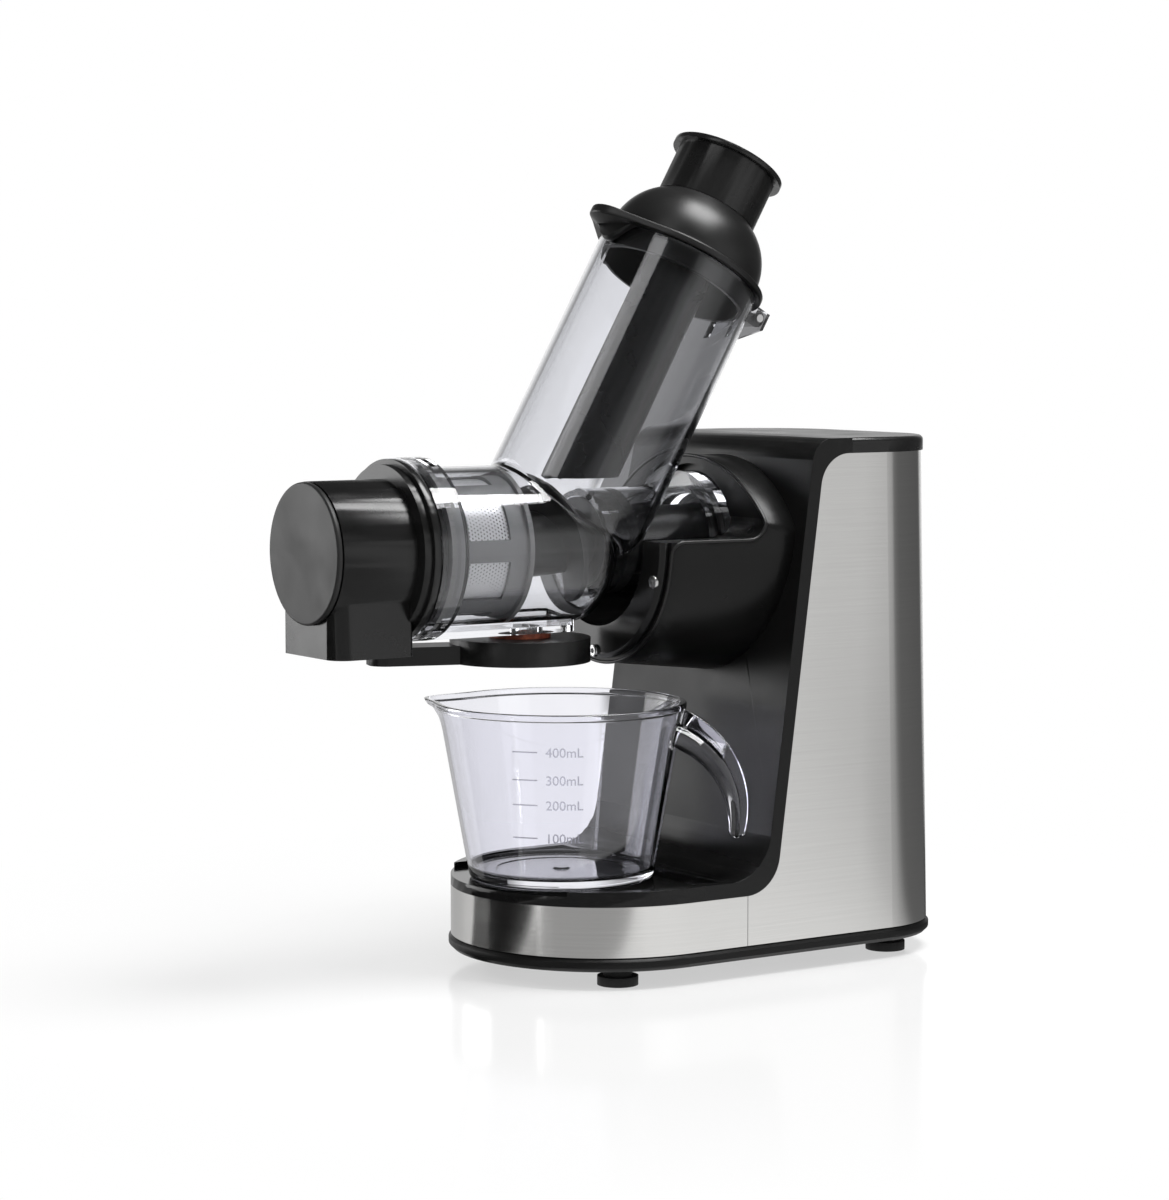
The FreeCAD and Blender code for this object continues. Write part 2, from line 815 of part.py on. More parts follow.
def make_switch():
    """Rocker switch in the rear cover, and the gland of the mains inlet under it."""
    face = size("console_face_y")
    gap = size("free_gap")
    half_x, half_z = size("switch_half_x"), size("switch_half_z")
    middle = size("switch_z")
    rim = size("switch_frame")
    frame = Piece("switch_frame")
    depth = size("shell_wall") * 3
    flange = rectangle(-half_x - rim, middle - half_z - rim, half_x + rim, middle + half_z + rim)
    hole = rectangle(rim - half_x, middle - half_z + rim, half_x - rim, middle + half_z - rim)
    frame.pad(frame.sketch("XZ_Plane", [flange], (0, 0, -face - rim / 4)), rim / 4)
    body = rectangle(-half_x, middle - half_z, half_x, middle + half_z)
    frame.pad(frame.sketch("XZ_Plane", [body], (0, 0, -face)), depth)
    frame.pocket(frame.sketch("XZ_Plane", [hole], (0, 0, -face - rim)), depth, ahead=True)
    pivot = face - rim
    pin = Circle(pivot, middle, size("rocker_pin") + size("run_gap"))
    frame.pocket(frame.sketch("YZ_Plane", [pin]), half_x * 4, both=True)
    rocker = Piece("rocker")
    reach = half_z - rim - gap
    tilt = tangent(size("rocker_tilt"))
    crown = pivot + rim / 2
    paddle = [
        (pivot - rim / 2, middle - reach * 3 / 4), (crown + reach * tilt / 3, middle - reach),
        (crown, middle), (crown + reach * tilt / 3, middle + reach),
        (pivot - rim / 2, middle + reach * 3 / 4),
    ]
    rocker.pad(rocker.sketch("YZ_Plane", [paddle]), (half_x - rim - gap) * 2, both=True)
    stub = Circle(pivot, middle, size("rocker_pin"))
    rocker.pad(rocker.sketch("YZ_Plane", [stub]), (half_x - size("seat_gap")) * 2, both=True)
    gland = Piece("cord_gland")
    bore = Circle(0, size("gland_z"), size("gland_bore"))
    lip = Circle(0, size("gland_z"), size("gland_radius"))
    throat = Circle(0, size("gland_z"), size("gland_radius") - rim)
    gland.pad(gland.sketch("XZ_Plane", [lip], (0, 0, -face - rim / 4)), rim / 4)
    gland.pad(gland.sketch("XZ_Plane", [throat], (0, 0, -face)), depth)
    gland.pocket(gland.sketch("XZ_Plane", [bore], (0, 0, -face - rim)), depth * 2, ahead=True)


def sector(inner, outer, middle, half_angle):
    """Four corners of a block that stands on a circle, seen along the drum."""
    corners = []
    for radius, side in ((inner, -1), (outer, -1), (outer, 1), (inner, 1)):
        angle = middle + half_angle * side
        corners.append((radius * cosine(angle), radius * sine(angle)))
    return corners


def lug_middle(side):
    """Angle of a bayonet lug on the right or left, below the drum axis."""
    if side > 0:
        return size("lug_angle")
    return -size("lug_angle") - 180


def screw_places(circle):
    """Sketch circles for the collar screws."""
    turn = size("collar_screw_circle")
    return [Circle(turn * cosine(dim(angle)), turn * sine(dim(angle)), circle)
            for angle in COLLAR_SCREW_ANGLES]


def collar_radius(depth):
    """Outer radius of the flared collar at a Y."""
    length = face_y(size("axis_z")) - size("collar_front_y")
    share = (depth - size("collar_front_y")) / length
    return size("collar_front_radius") + (size("collar_back_radius") - size("collar_front_radius")) * share


def shelf_air():
    """Side view of the space cut away above the collar, back to the hood."""
    shelf = size("axis_z") + size("collar_shelf")
    round_off = size("hood_round")
    hood = size("hood_y")
    return [(-FAR, shelf), (hood - round_off, shelf), Arc(round_off, True), (hood, shelf + round_off),
            (hood, FAR), (-FAR, FAR)]


def make_collar():
    """Collar that carries the drum: flared shell with a bayonet socket, front ring and screws."""
    shell = Piece("collar_shell")
    front = size("collar_front_y") + size("collar_ring_thick")
    floor = size("socket_floor_y")
    lug_front = size("neck_end_y") - size("bayonet_length")
    lip_rear = lug_front - size("free_gap") * 2
    lip_front = lip_rear - size("lip_thick")
    lug_room = size("bayonet_radius") + size("lug_height") + size("free_gap") * 2
    lip = size("bayonet_radius") + size("free_gap") * 2
    back = FAR / 4
    profile = [
        (front, size("collar_bore")), (lip_front, size("collar_bore")), (lip_front, lip), (lip_rear, lip),
        (lip_rear, lug_room), (floor, lug_room), (floor, size("seal_radius")), (back, size("seal_radius")),
        (back, collar_radius(back)), (front, collar_radius(front)),
    ]
    shell.revolve(shell.sketch("YZ_Plane", [profile], along_drum()))
    tower = [(face_y(dim(0)), 0), (FAR, 0), (FAR, FAR), (face_y(FAR), FAR)]
    shell.pocket(shell.sketch("YZ_Plane", [tower]), FAR, both=True)
    shell.pocket(shell.sketch("YZ_Plane", [shelf_air()]), FAR, both=True)
    shelf = size("axis_z") + size("collar_shelf")
    reach = root(size("hood_radius") * size("hood_radius")
                 - (shelf - size("hood_centre_z")) * (shelf - size("hood_centre_z")))
    crown = size("hood_centre_z") + size("hood_radius")
    brow = [(reach, shelf), Arc(size("hood_radius"), True), (0, crown), Arc(size("hood_radius"), True),
            (-reach, shelf), (-FAR, shelf), (-FAR, FAR), (FAR, FAR), (FAR, shelf)]
    shell.pocket(shell.sketch("XZ_Plane", [brow]), FAR, both=True)
    notches = [sector(lip - size("lip_thick"), lug_room, lug_middle(side) - size("twist"),
                      size("lug_half_angle") + size("free_gap") * 6) for side in LUG_SIDES]
    shell.pocket(shell.sketch("XZ_Plane", notches, across_y(lip_front)), size("lip_thick"))
    pilots = shell.sketch("XZ_Plane", screw_places(size("screw_shank")), across_y(front))
    shell.pocket(pilots, size("screw_head") * 3)
    ring = Piece("collar_ring")
    nose, edge = size("collar_front_y"), size("plate_edge")
    outer = size("collar_ring_radius")
    ring.revolve(ring.sketch("YZ_Plane", [[
        (nose, size("collar_bore")), (nose, outer - edge), (nose + edge, outer), (front, outer),
        (front, size("collar_bore")),
    ]], along_drum()))
    ring.pocket(ring.sketch("YZ_Plane", [shelf_air()]), FAR, both=True)
    ring.pocket(ring.sketch("XZ_Plane", screw_places(size("screw_shank")), across_y(front)), FAR, both=True)
    profile = [
        (-size("screw_head") / 2, 0), (-size("screw_head") / 2, size("screw_head")), (0, size("screw_head")),
        (0, size("screw_shank")), (size("screw_head") * 3, size("screw_shank")), (size("screw_head") * 3, 0),
    ]
    turn = size("collar_screw_circle")
    screws = []
    for angle in COLLAR_SCREW_ANGLES:
        screw = Piece(f"collar_screw_{len(screws)}", keep=False)
        screw.revolve(screw.sketch("YZ_Plane", [profile]))
        bind(screw.body, ".Placement.Base.x", turn * cosine(dim(angle)))
        bind(screw.body, ".Placement.Base.y", size("collar_front_y"))
        bind(screw.body, ".Placement.Base.z", size("axis_z") + turn * sine(dim(angle)))
        screws.append(screw.body)
    join_group("collar_screws", screws)
    seal = Piece("shaft_seal")
    bore = size("socket_radius") + size("run_gap") * 2
    rear = size("socket_rear_y") + size("socket_floor_y") - size("neck_end_y") + size("bayonet_length")
    lips = seal.sketch("XZ_Plane", ring_between(bore, size("seal_radius")), across_y(rear))
    seal.pad(lips, rear - floor)


def bowl_profile(inset, top):
    """Half profile of the feed tube with its rounded bowl, as (distance along, radius)."""
    centre = size("bowl_centre")
    sphere = size("bowl_radius") - inset
    corner = size("bowl_round") - inset
    wall = size("tube_radius") - inset
    between = sphere - corner
    side = wall - corner
    back = root(between * between - side * side)
    return [
        (centre - sphere, 0), Arc(sphere, False),
        (centre - sphere * back / between, sphere * side / between), Arc(corner, False),
        (centre - back, wall), (top, wall), (top, 0),
    ]


def make_drum():
    """Clear drum: barrel with front flange, bayonet neck, gutter with outlet, and the slanted feed tube."""
    drum = Piece("drum_shell")
    wall = size("drum_wall")
    front, end = size("drum_front_y"), size("barrel_end_y")
    flange_rear = front + size("flange_length")
    barrel, rounding = size("barrel_radius"), size("barrel_round")
    neck, neck_end = size("neck_radius"), size("neck_end_y")
    flange = size("flange_radius")
    outside = [
        (front, 0), (front, flange), (flange_rear, flange), (flange_rear, barrel),
        (end - rounding, barrel), Arc(rounding, False), (end, barrel - rounding), (end, 0),
    ]
    drum.revolve(drum.sketch("YZ_Plane", [outside], along_drum()))
    tube = bowl_profile(dim(0), size("tube_top"))
    drum.revolve(drum.sketch("YZ_Plane", [tube], along_feed(), turn=FEED_TURN))
    drum.fillet(size("saddle_round"), lambda edge: edge.Curve.TypeId == "Part::GeomBSplineCurve")
    gutter = rounded_rectangle(-size("gutter_half"), flange_rear - wall, size("gutter_half"),
                               size("gutter_rear_y"), wall * 2)
    drum.pad(drum.sketch("XY_Plane", [gutter], at_height(size("gutter_z"))), wall * 3)
    stub = Circle(0, size("outlet_y"), size("outlet_radius"))
    drum.pad(drum.sketch("XY_Plane", [stub], at_height(size("outlet_bottom_z"))),
             size("gutter_z") - size("outlet_bottom_z") + wall)
    throat = bowl_profile(wall, size("tube_top") + wall)
    drum.groove(drum.sketch("YZ_Plane", [throat], along_feed(), turn=FEED_TURN))
    bayonet = neck_end - size("bayonet_length")
    collar = [
        (end - wall, 0), (end - wall, neck), (bayonet, neck), (bayonet, size("bayonet_radius")),
        (neck_end, size("bayonet_radius")), (neck_end, 0),
    ]
    drum.revolve(drum.sketch("YZ_Plane", [collar], along_drum()))
    inside = [
        (front - wall, 0), (front - wall, barrel - wall), (end - rounding, barrel - wall),
        Arc(rounding - wall, False), (end - wall, barrel - rounding), (end - wall, neck - wall),
        (neck_end + wall, neck - wall), (neck_end + wall, 0),
    ]
    drum.groove(drum.sketch("YZ_Plane", [inside], along_drum()))
    channel = rectangle(wall - size("gutter_half"), flange_rear + wall, size("gutter_half") - wall,
                        size("gutter_rear_y") - wall)
    drum.pocket(drum.sketch("XY_Plane", [channel], at_height(size("axis_z"))),
                size("axis_z") - size("gutter_z") - wall)
    drain = Circle(0, size("outlet_y"), size("outlet_radius") - wall)
    drum.pocket(drum.sketch("XY_Plane", [drain], at_height(size("axis_z"))), FAR)
    for side in LUG_SIDES:
        lug = sector(size("bayonet_radius") - wall / 2, size("bayonet_radius") + size("lug_height"),
                     lug_middle(side), size("lug_half_angle"))
        drum.pad(drum.sketch("XZ_Plane", [lug], across_y(bayonet + size("lug_length"))), size("lug_length"))
    root_out = size("tube_radius") - wall / 2
    tip_out = size("hinge_out") + size("hinge_eye")
    along = size("tube_top") - size("hinge_drop")
    lid_edge = size("lid_flange_radius") + size("free_gap")
    brim = size("tube_top") - size("free_gap")
    ear = [
        (along - size("hinge_eye") * 4, -root_out), (along - size("hinge_eye"), -tip_out),
        (along + size("hinge_eye"), -tip_out), (along + size("hinge_eye"), -lid_edge), (brim, -lid_edge),
        (brim, -root_out),
    ]
    eye = Circle(along, -size("hinge_out"), size("hinge_pin_radius"))
    for side in LUG_SIDES:
        inner = (size("feed_y"), size("axis_z"), size("ear_inner") * side)
        drum.pad(drum.sketch("YZ_Plane", [ear, eye], inner, turn=FEED_TURN), size("ear_thick"), back=side < 0)
    pin = Piece("hinge_pin")
    rod = Circle(along, -size("hinge_out"), size("hinge_pin_radius"))
    pin.pad(pin.sketch("YZ_Plane", [rod], along_feed(), turn=FEED_TURN),
            (size("ear_inner") + size("ear_thick")) * 2, both=True)
    seal = Piece("drum_seal")
    journal = size("socket_radius") - size("bush_wall") - wall / 3
    ring = ring_between(journal + size("run_gap") * 2, neck - wall)
    seal.pad(seal.sketch("XZ_Plane", ring, across_y(size("socket_front_y") - wall)), wall * 2)
    gasket = Piece("outlet_seal")
    stub = size("outlet_radius")
    flat = [Circle(0, size("outlet_y"), radius) for radius in (stub + wall, stub)]
    gasket.pad(gasket.sketch("XY_Plane", flat, at_height(size("sieve_top_z"))),
               size("gutter_z") - size("sieve_top_z"))


def make_lid():
    """Black lid on the feed tube: flange, dome with a guide for the pusher, finger tab and hinge knuckle."""
    lid = Piece("lid")
    wall = size("lid_wall")
    seat = size("tube_top") + size("seat_gap")
    top = seat + size("lid_flange_thick")
    guide = size("pusher_radius") + size("free_gap")
    spigot = size("tube_radius") - size("drum_wall") - size("free_gap")
    dome, base, neck = size("dome_top"), size("dome_base_radius"), size("dome_neck_radius")
    curve = size("dome_curve")
    foot = seat + size("dome_foot")
    profile = [
        (seat - wall * 4, spigot - wall), (seat - wall * 4, spigot), (seat, spigot),
        (seat, size("lid_flange_radius")), (top, size("lid_flange_radius")), (foot, base),
        Arc(curve, False), (dome, neck), (dome, guide), (dome - wall * 4, guide),
        (dome - wall * 4, guide + wall), (dome - wall, guide + wall), (dome - wall, neck - wall),
        Arc(curve - wall, True), (foot, base - wall), (top, spigot - wall),
    ]
    lid.revolve(lid.sketch("YZ_Plane", [profile], along_feed(), turn=FEED_TURN))
    reach, half = size("tab_reach"), size("tab_half")
    near = spigot + size("free_gap") * 3
    corner = half / 2
    tab = [
        (-near, near - reach), (-half, corner - reach), Arc(corner, True), (corner - half, -reach),
        (half - corner, -reach), Arc(corner, True), (half, corner - reach), (near, near - reach),
    ]
    tilt = size("feed_tilt")
    thick = size("lid_flange_thick")
    lid.pad(lid.sketch("XY_Plane", [tab], across_feed(seat), tilt=tilt), thick)
    clear = size("tube_radius") + size("free_gap")
    hook_end = seat - size("tab_hook")
    hook = [
        (seat + thick / 2, clear), (seat + thick / 2, reach - corner), (seat, reach - corner),
        (hook_end, clear + wall), (hook_end, clear),
    ]
    lid.pad(lid.sketch("YZ_Plane", [hook], along_feed(), turn=FEED_TURN), half * 2, both=True)
    rim = size("tube_radius") + wall
    slot = rounded_rectangle(wall - half, -rim - size("tab_slot"), half - wall, -rim, wall)
    lid.pocket(lid.sketch("XY_Plane", [slot], across_feed(top), tilt=tilt), thick + size("tab_hook") * 2)
    along = size("tube_top") - size("hinge_drop")
    out, eye = size("hinge_out"), size("hinge_eye")
    knuckle = [
        (along - eye, -out - eye), (top, -out - eye), (top, -near), (seat, -near), (seat, -clear),
        (along - eye, -clear),
    ]
    hole = Circle(along, -out, size("hinge_pin_radius"))
    lid.pad(lid.sketch("YZ_Plane", [knuckle, hole], along_feed(), turn=FEED_TURN),
            (size("ear_inner") - size("free_gap")) * 2, both=True)


def make_pusher():
    """Black pusher: a hollow cup that slides in the guide of the lid, with a wide rim at the top."""
    pusher = Piece("pusher")
    stem, head = size("pusher_radius"), size("pusher_head_radius")
    shoulder = size("dome_top") + size("seat_gap")
    top = size("pusher_top")
    rim = top - size("pusher_rim_thick")
    floor = size("pusher_end_z") - size("axis_z") + size("pusher_radius")
    wall = size("pusher_wall")
    profile = [
        (0, 0), (0, stem), (shoulder, stem), (shoulder, head), (rim, head), (rim, size("pusher_rim_radius")),
        (top, size("pusher_rim_radius")), (top, head - wall), (shoulder + wall, head - wall),
        (shoulder + wall, stem - wall), (floor, stem - wall), (floor, 0),
    ]
    pusher.revolve(pusher.sketch("YZ_Plane", [profile], along_feed(), turn=FEED_TURN))
    end = [(-FAR, 0), (FAR, 0), (FAR, size("pusher_end_z")), (-FAR, size("pusher_end_z"))]
    pusher.pocket(pusher.sketch("YZ_Plane", [end]), FAR, both=True)


def make_front_cap():
    """Black cap on the drum front, with the pulp chute and the disc set in its face."""
    cap = Piece("front_cap")
    wall = size("cap_wall")
    front, ring = size("cap_front_y"), size("cap_ring_y")
    seat = size("drum_front_y") - size("seat_gap")
    outer, rim = size("cap_radius"), size("cap_ring_radius")
    spigot = size("barrel_radius") - size("drum_wall") - size("free_gap")
    step = (seat - ring) / 2
    end = seat + size("spigot_length")
    profile = [
        (front, 0), (front, outer), (ring, outer), (ring, rim - wall), (ring + step, rim - wall),
        (ring + step, rim), (seat, rim), (seat, spigot), (end, spigot), (end, 0),
    ]
    cap.revolve(cap.sketch("YZ_Plane", [profile], along_drum()))
    half, corner = size("chute_half"), size("chute_corner")
    rear, low = size("chute_rear_y"), size("chute_bottom_z")
    edge = size("chute_edge")
    outline = uneven_rectangle(-half, front, half, rear, (edge, corner, edge, edge))
    cap.pad(cap.sketch("XY_Plane", [outline], at_height(low)), size("axis_z") - low)
    room = [
        (front + wall, 0), (front + wall, outer - wall), (seat + FAR, outer - wall), (seat + FAR, 0),
    ]
    cap.groove(cap.sketch("YZ_Plane", [room], along_drum()))
    throat = uneven_rectangle(wall - half, front + wall, half - wall, rear - wall,
                              (edge, corner - wall, edge, edge))
    cap.pocket(cap.sketch("XY_Plane", [throat], at_height(low)), size("axis_z") - low, ahead=True)
    disc = Piece("cap_face_disc")
    proud = size("face_disc_thick")
    edge, curve, groove = size("face_disc_radius"), size("face_disc_round"), size("face_disc_groove")
    profile = [
        (front - proud, 0), (front - proud, edge - curve), Arc(curve, False), (front - proud + curve, edge),
        (front - groove, edge), (front - groove, edge - groove * 2), (front, edge - groove * 2), (front, 0),
    ]
    disc.revolve(disc.sketch("YZ_Plane", [profile], along_drum()))


def make_strainer():
    """Strainer in the drum: a frame with windows round a fine steel sleeve."""
    frame = Piece("strainer_frame")
    outer, inner = size("strainer_radius"), size("strainer_radius") - size("strainer_wall")
    seat = size("barrel_radius") - size("drum_wall")
    front, rear = size("strainer_front_y"), size("strainer_rear_y")
    band = size("strainer_band")
    profile = [
        (front, inner), (front, seat), (front + band / 2, seat), (front + band / 2, outer),
        (rear - band / 2, outer), (rear - band / 2, seat), (rear, seat), (rear, inner),
    ]
    frame.revolve(frame.sketch("YZ_Plane", [profile], along_drum()))
    margin = size("strainer_margin")
    step = 360 / STRAINER_WINDOWS
    windows = [sector(inner - band, outer + band, dim(step * (number + 0.5)), size("strainer_half_angle"))
               for number in range(STRAINER_WINDOWS)]
    frame.pocket(frame.sketch("XZ_Plane", windows, across_y(front + margin)), rear - front - margin * 2)
    mesh = Piece("strainer_mesh")
    sleeve = ring_between(inner - size("mesh_gauge"), inner)
    mesh.pad(mesh.sketch("XZ_Plane", sleeve, across_y(rear - band / 4)), rear - front - band / 2)


def make_auger():
    """Black auger: tapered core with a nose, a helical flight, a closing flange, a journal and a hex end."""
    auger = Piece("auger")
    front, rear = size("auger_front_y"), size("auger_rear_y")
    wall = size("drum_wall")
    flange = size("neck_radius") - wall - size("free_gap") * 2
    journal = size("socket_radius") - size("bush_wall") - wall / 3
    nose = size("core_rear")
    shoulder = size("core_front")
    socket = size("socket_front_y")
    profile = [
        (front, 0), (front, nose / 2), (front + nose / 2, shoulder), (front + nose, shoulder),
        (rear - wall * 2, nose), (rear - wall * 2, flange), (rear, flange), (rear, journal),
        (socket - wall / 6, journal), (socket - wall / 6, 0),
    ]
    auger.revolve(auger.sketch("YZ_Plane", [profile], along_drum()))
    hexagon = hex_outline(size("hex_flats"))
    end = size("hex_end_y")
    auger.pad(auger.sketch("XZ_Plane", [hexagon], across_y(end)), end - socket + wall)
    foot, tip = size("flight_root") / 2, size("flight_tip") / 2
    start = front + nose / 2 + foot
    edge = size("auger_radius")
    thread = auger.sketch("YZ_Plane", [[
        (start - foot, nose / 2), (start + foot, nose / 2), (start + tip, edge), (start - tip, edge),
    ]], along_drum())
    flight = auger.feature("AdditiveHelix", thread)
    flight.ReferenceAxis = (thread, ["H_Axis"])
    flight.Mode = 1
    bind(flight, "Pitch", size("flight_pitch"))
    bind(flight, "Turns", size("flight_turns"))
    auger.grown(flight, 1)


def hex_outline(flats):
    """Regular hexagon with the given width across its flats."""
    reach = flats / 2 / cosine(dim(180 / HEX_SIDES))
    return [(reach * cosine(dim(360 / HEX_SIDES * step)), reach * sine(dim(360 / HEX_SIDES * step)))
            for step in range(HEX_SIDES)]


CASE_REAR = size("case_front_y") + size("case_plate") + size("case_gap")
CASE_BACK = CASE_REAR + size("case_plate")
OUTPUT_PITCH = (size("output_teeth") + size("idler_pinion_teeth")) * size("output_module") / 2
MOTOR_PITCH = (size("idler_gear_teeth") + size("motor_teeth")) * size("motor_module") / 2
IDLER_Z = size("axis_z") - OUTPUT_PITCH
MOTOR_Z = IDLER_Z - MOTOR_PITCH
OUTPUT_GEAR_Y = size("case_front_y") + size("case_plate") + size("gear_space")
IDLER_GEAR_Y = OUTPUT_GEAR_Y + size("output_gear_width") + size("gear_space")
MOTOR_BACK = CASE_BACK + size("motor_length")
MOTOR_END = MOTOR_BACK + size("motor_end")


def make_drive():
    """Drive socket for the auger's hex end, on the output shaft."""
    socket = Piece("drive_socket")
    front, rear, end = size("socket_front_y"), size("socket_rear_y"), size("hex_end_y")
    rear = rear + size("socket_floor_y") - size("neck_end_y") + size("bayonet_length")
    body = socket.sketch("XZ_Plane", [Circle(0, 0, size("socket_radius"))], across_y(rear))
    socket.pad(body, rear - front)
    hexagon = hex_outline(size("hex_flats") + size("free_gap"))
    socket.pocket(socket.sketch("XZ_Plane", [hexagon], across_y(front)), end - front)
    bore = socket.sketch("XZ_Plane", [Circle(0, 0, size("shaft_radius"))], across_y(rear))
    socket.pocket(bore, rear - size("shaft_front_y"), ahead=True)
    shaft = Piece("output_shaft")
    tail = CASE_BACK + size("gear_space")
    rod = shaft.sketch("XZ_Plane", [Circle(0, 0, size("shaft_radius"))], across_y(tail))
    shaft.pad(rod, tail - size("shaft_front_y"))


def involute(angle):
    return math.tan(angle) - angle


def gear_wire(teeth, module, backlash, tooth_at):
    """Closed outline of a spur gear in the XZ plane, with one tooth at an angle in degrees."""
    pressure = math.radians(20)
    pitch_radius = teeth * module / 2
    tip_radius = pitch_radius + module
    root_radius = pitch_radius - 1.25 * module
    base_radius = pitch_radius * math.cos(pressure)
    half_pitch = math.pi / teeth / 2 - backlash / 4 / pitch_radius
    half_tip = half_pitch + involute(pressure) - involute(math.acos(base_radius / tip_radius))
    low_radius = max(root_radius, base_radius)
    half_root = half_pitch + involute(pressure) - involute(math.acos(base_radius / low_radius))
    corners = []
    for tooth in range(teeth):
        middle = math.radians(tooth_at) + tooth * 2 * math.pi / teeth
        for radius, turn in ((root_radius, -half_root), (tip_radius, -half_tip),
                             (tip_radius, half_tip), (root_radius, half_root)):
            angle = middle + turn
            corners.append(FreeCAD.Vector(radius * math.cos(angle), 0, radius * math.sin(angle)))
    return Part.makePolygon(corners + corners[:1])


def make_gear(name, teeth, module, width, bore, place, tooth_at):
    """Spur gear along Y with a bore, set at a place (Y, Z)."""
    number = int(sheet.get(teeth))
    outline = gear_wire(number, float(sheet.get(module)), float(sheet.get("gear_backlash")), tooth_at)
    blank = Part.Face(outline).extrude(FreeCAD.Vector(0, width.value, 0))
    axle = Part.makeCylinder(bore.value, width.value, FreeCAD.Vector(), FreeCAD.Vector(0, 1, 0))
    gear = doc.addObject("Part::Feature", name)
    gear.Label = name
    gear.Shape = blank.cut(axle)
    bind(gear, ".Placement.Base.y", place[0])
    bind(gear, ".Placement.Base.z", place[1])
    PIECES[name] = gear


def make_gears():
    """Two-stage reduction: motor pinion, compound idler and output gear."""
    free = size("axle_radius") + size("run_gap")
    fixed = size("axle_radius")
    make_gear("output_gear", "output_teeth", "output_module", size("output_gear_width"), size("shaft_radius"),
              (OUTPUT_GEAR_Y, size("axis_z")), -90)
    make_gear("idler_pinion", "idler_pinion_teeth", "output_module",
              size("output_gear_width") + size("gear_space"), free,
              (OUTPUT_GEAR_Y, IDLER_Z), 90 + 180 / SIZES["idler_pinion_teeth"])
    make_gear("idler_gear", "idler_gear_teeth", "motor_module", size("idler_gear_width"), free,
              (IDLER_GEAR_Y, IDLER_Z), -90)
    make_gear("motor_pinion", "motor_teeth", "motor_module",
              size("idler_gear_width") + size("gear_space"), fixed,
              (IDLER_GEAR_Y, MOTOR_Z), 90 + 180 / SIZES["motor_teeth"])


def make_gear_case():
    """Two plates that hold the gears, the posts between them, the idler axle and the output bushes."""
    half, corner = size("case_half"), size("case_corner")
    plate = rounded_rectangle(-half, size("case_low_z"), half, size("case_high_z"), corner)
    bush = size("shaft_radius") + size("bush_wall")
    axle = size("axle_radius")
    inset = size("post_inset")
    posts = [(side * (half - inset), height) for side in (-1, 1)
             for height in (size("case_low_z") + inset, size("case_high_z") - inset)]
    holes = [Circle(0, size("axis_z"), bush), Circle(0, IDLER_Z, axle)]
    front = Piece("gearcase_front")
    inner = size("case_front_y") + size("case_plate")
    front.pad(front.sketch("XZ_Plane", [plate] + holes, (0, 0, -inner)), size("case_plate"))
    for across, height in posts:
        boss = Circle(across, height, size("post_radius"))
        front.pad(front.sketch("XZ_Plane", [boss], (0, 0, -size("case_front_y"))), size("case_front_y"))
    wall = size("shell_wall")
    ahead = [(-FAR, 0), (face_y(dim(0), wall), 0), (face_y(FAR, wall), FAR), (-FAR, FAR)]
    front.pocket(front.sketch("YZ_Plane", [ahead]), FAR, both=True)
    rear = Piece("gearcase_rear")
    motor_bush = Circle(0, MOTOR_Z, axle + size("bush_wall"))
    rear.pad(rear.sketch("XZ_Plane", [plate, motor_bush] + holes, (0, 0, -CASE_BACK)), size("case_plate"))
    bars = []
    for across, height in posts:
        bar = Piece(f"post_{len(bars)}", keep=False)
        rod = Circle(across, height, size("post_radius"))
        bar.pad(bar.sketch("XZ_Plane", [rod], (0, 0, -CASE_REAR)), size("case_gap"))
        bars.append(bar.body)
    join_group("gearcase_posts", bars)
    idler = Piece("idler_axle")
    rod = Circle(0, IDLER_Z, axle)
    idler.pad(idler.sketch("XZ_Plane", [rod], (0, 0, -CASE_BACK)), CASE_BACK - size("case_front_y"))
    bushes = []
    for end in (inner, CASE_BACK):
        liner = Piece(f"output_bush_{len(bushes)}", keep=False)
        ring = ring_between(size("shaft_radius") + size("run_gap"), bush)
        liner.pad(liner.sketch("XZ_Plane", ring, across_y(end)), size("case_plate"))
        bushes.append(liner.body)
    join_group("output_bushes", bushes)


def across_motor(depth):
    """Sketch origin on the motor axis."""
    return (0, MOTOR_Z, -dim(depth))


def make_motor():
    """Motor behind the gear case: can, end cap, stator, bushes, and the turning shaft and core."""
    outer, wall = size("motor_radius"), size("motor_wall")
    length = size("motor_length")
    can = Piece("motor_can")
    can.pad(can.sketch("XZ_Plane", ring_between(outer - wall, outer), across_motor(MOTOR_BACK)), length)
    cap = Piece("motor_end_cap")
    bush = size("axle_radius") + size("bush_wall")
    cap.pad(cap.sketch("XZ_Plane", ring_between(bush, outer), across_motor(MOTOR_END)), size("motor_end"))
    stator = Piece("motor_stator")
    inset = size("core_inset")
    ring = ring_between(size("stator_bore"), outer - wall)
    stator.pad(stator.sketch("XZ_Plane", ring, across_motor(MOTOR_BACK - inset)), length - inset * 2)
    shaft = Piece("motor_shaft")
    rod = [Circle(0, 0, size("axle_radius"))]
    shaft.pad(shaft.sketch("XZ_Plane", rod, across_motor(MOTOR_END)), MOTOR_END - IDLER_GEAR_Y)
    core = Piece("rotor_core")
    ring = ring_between(size("axle_radius"), size("stator_bore") - size("rotor_gap"))
    core.pad(core.sketch("XZ_Plane", ring, across_motor(MOTOR_BACK - inset)), length - inset * 2)
    liners = []
    for end, depth in ((CASE_BACK, size("case_plate")), (MOTOR_END, size("motor_end"))):
        liner = Piece(f"motor_bush_{len(liners)}", keep=False)
        ring = ring_between(size("axle_radius") + size("run_gap"), bush)
        liner.pad(liner.sketch("XZ_Plane", ring, across_motor(end)), depth)
        liners.append(liner.body)
    join_group("motor_bushes", liners)


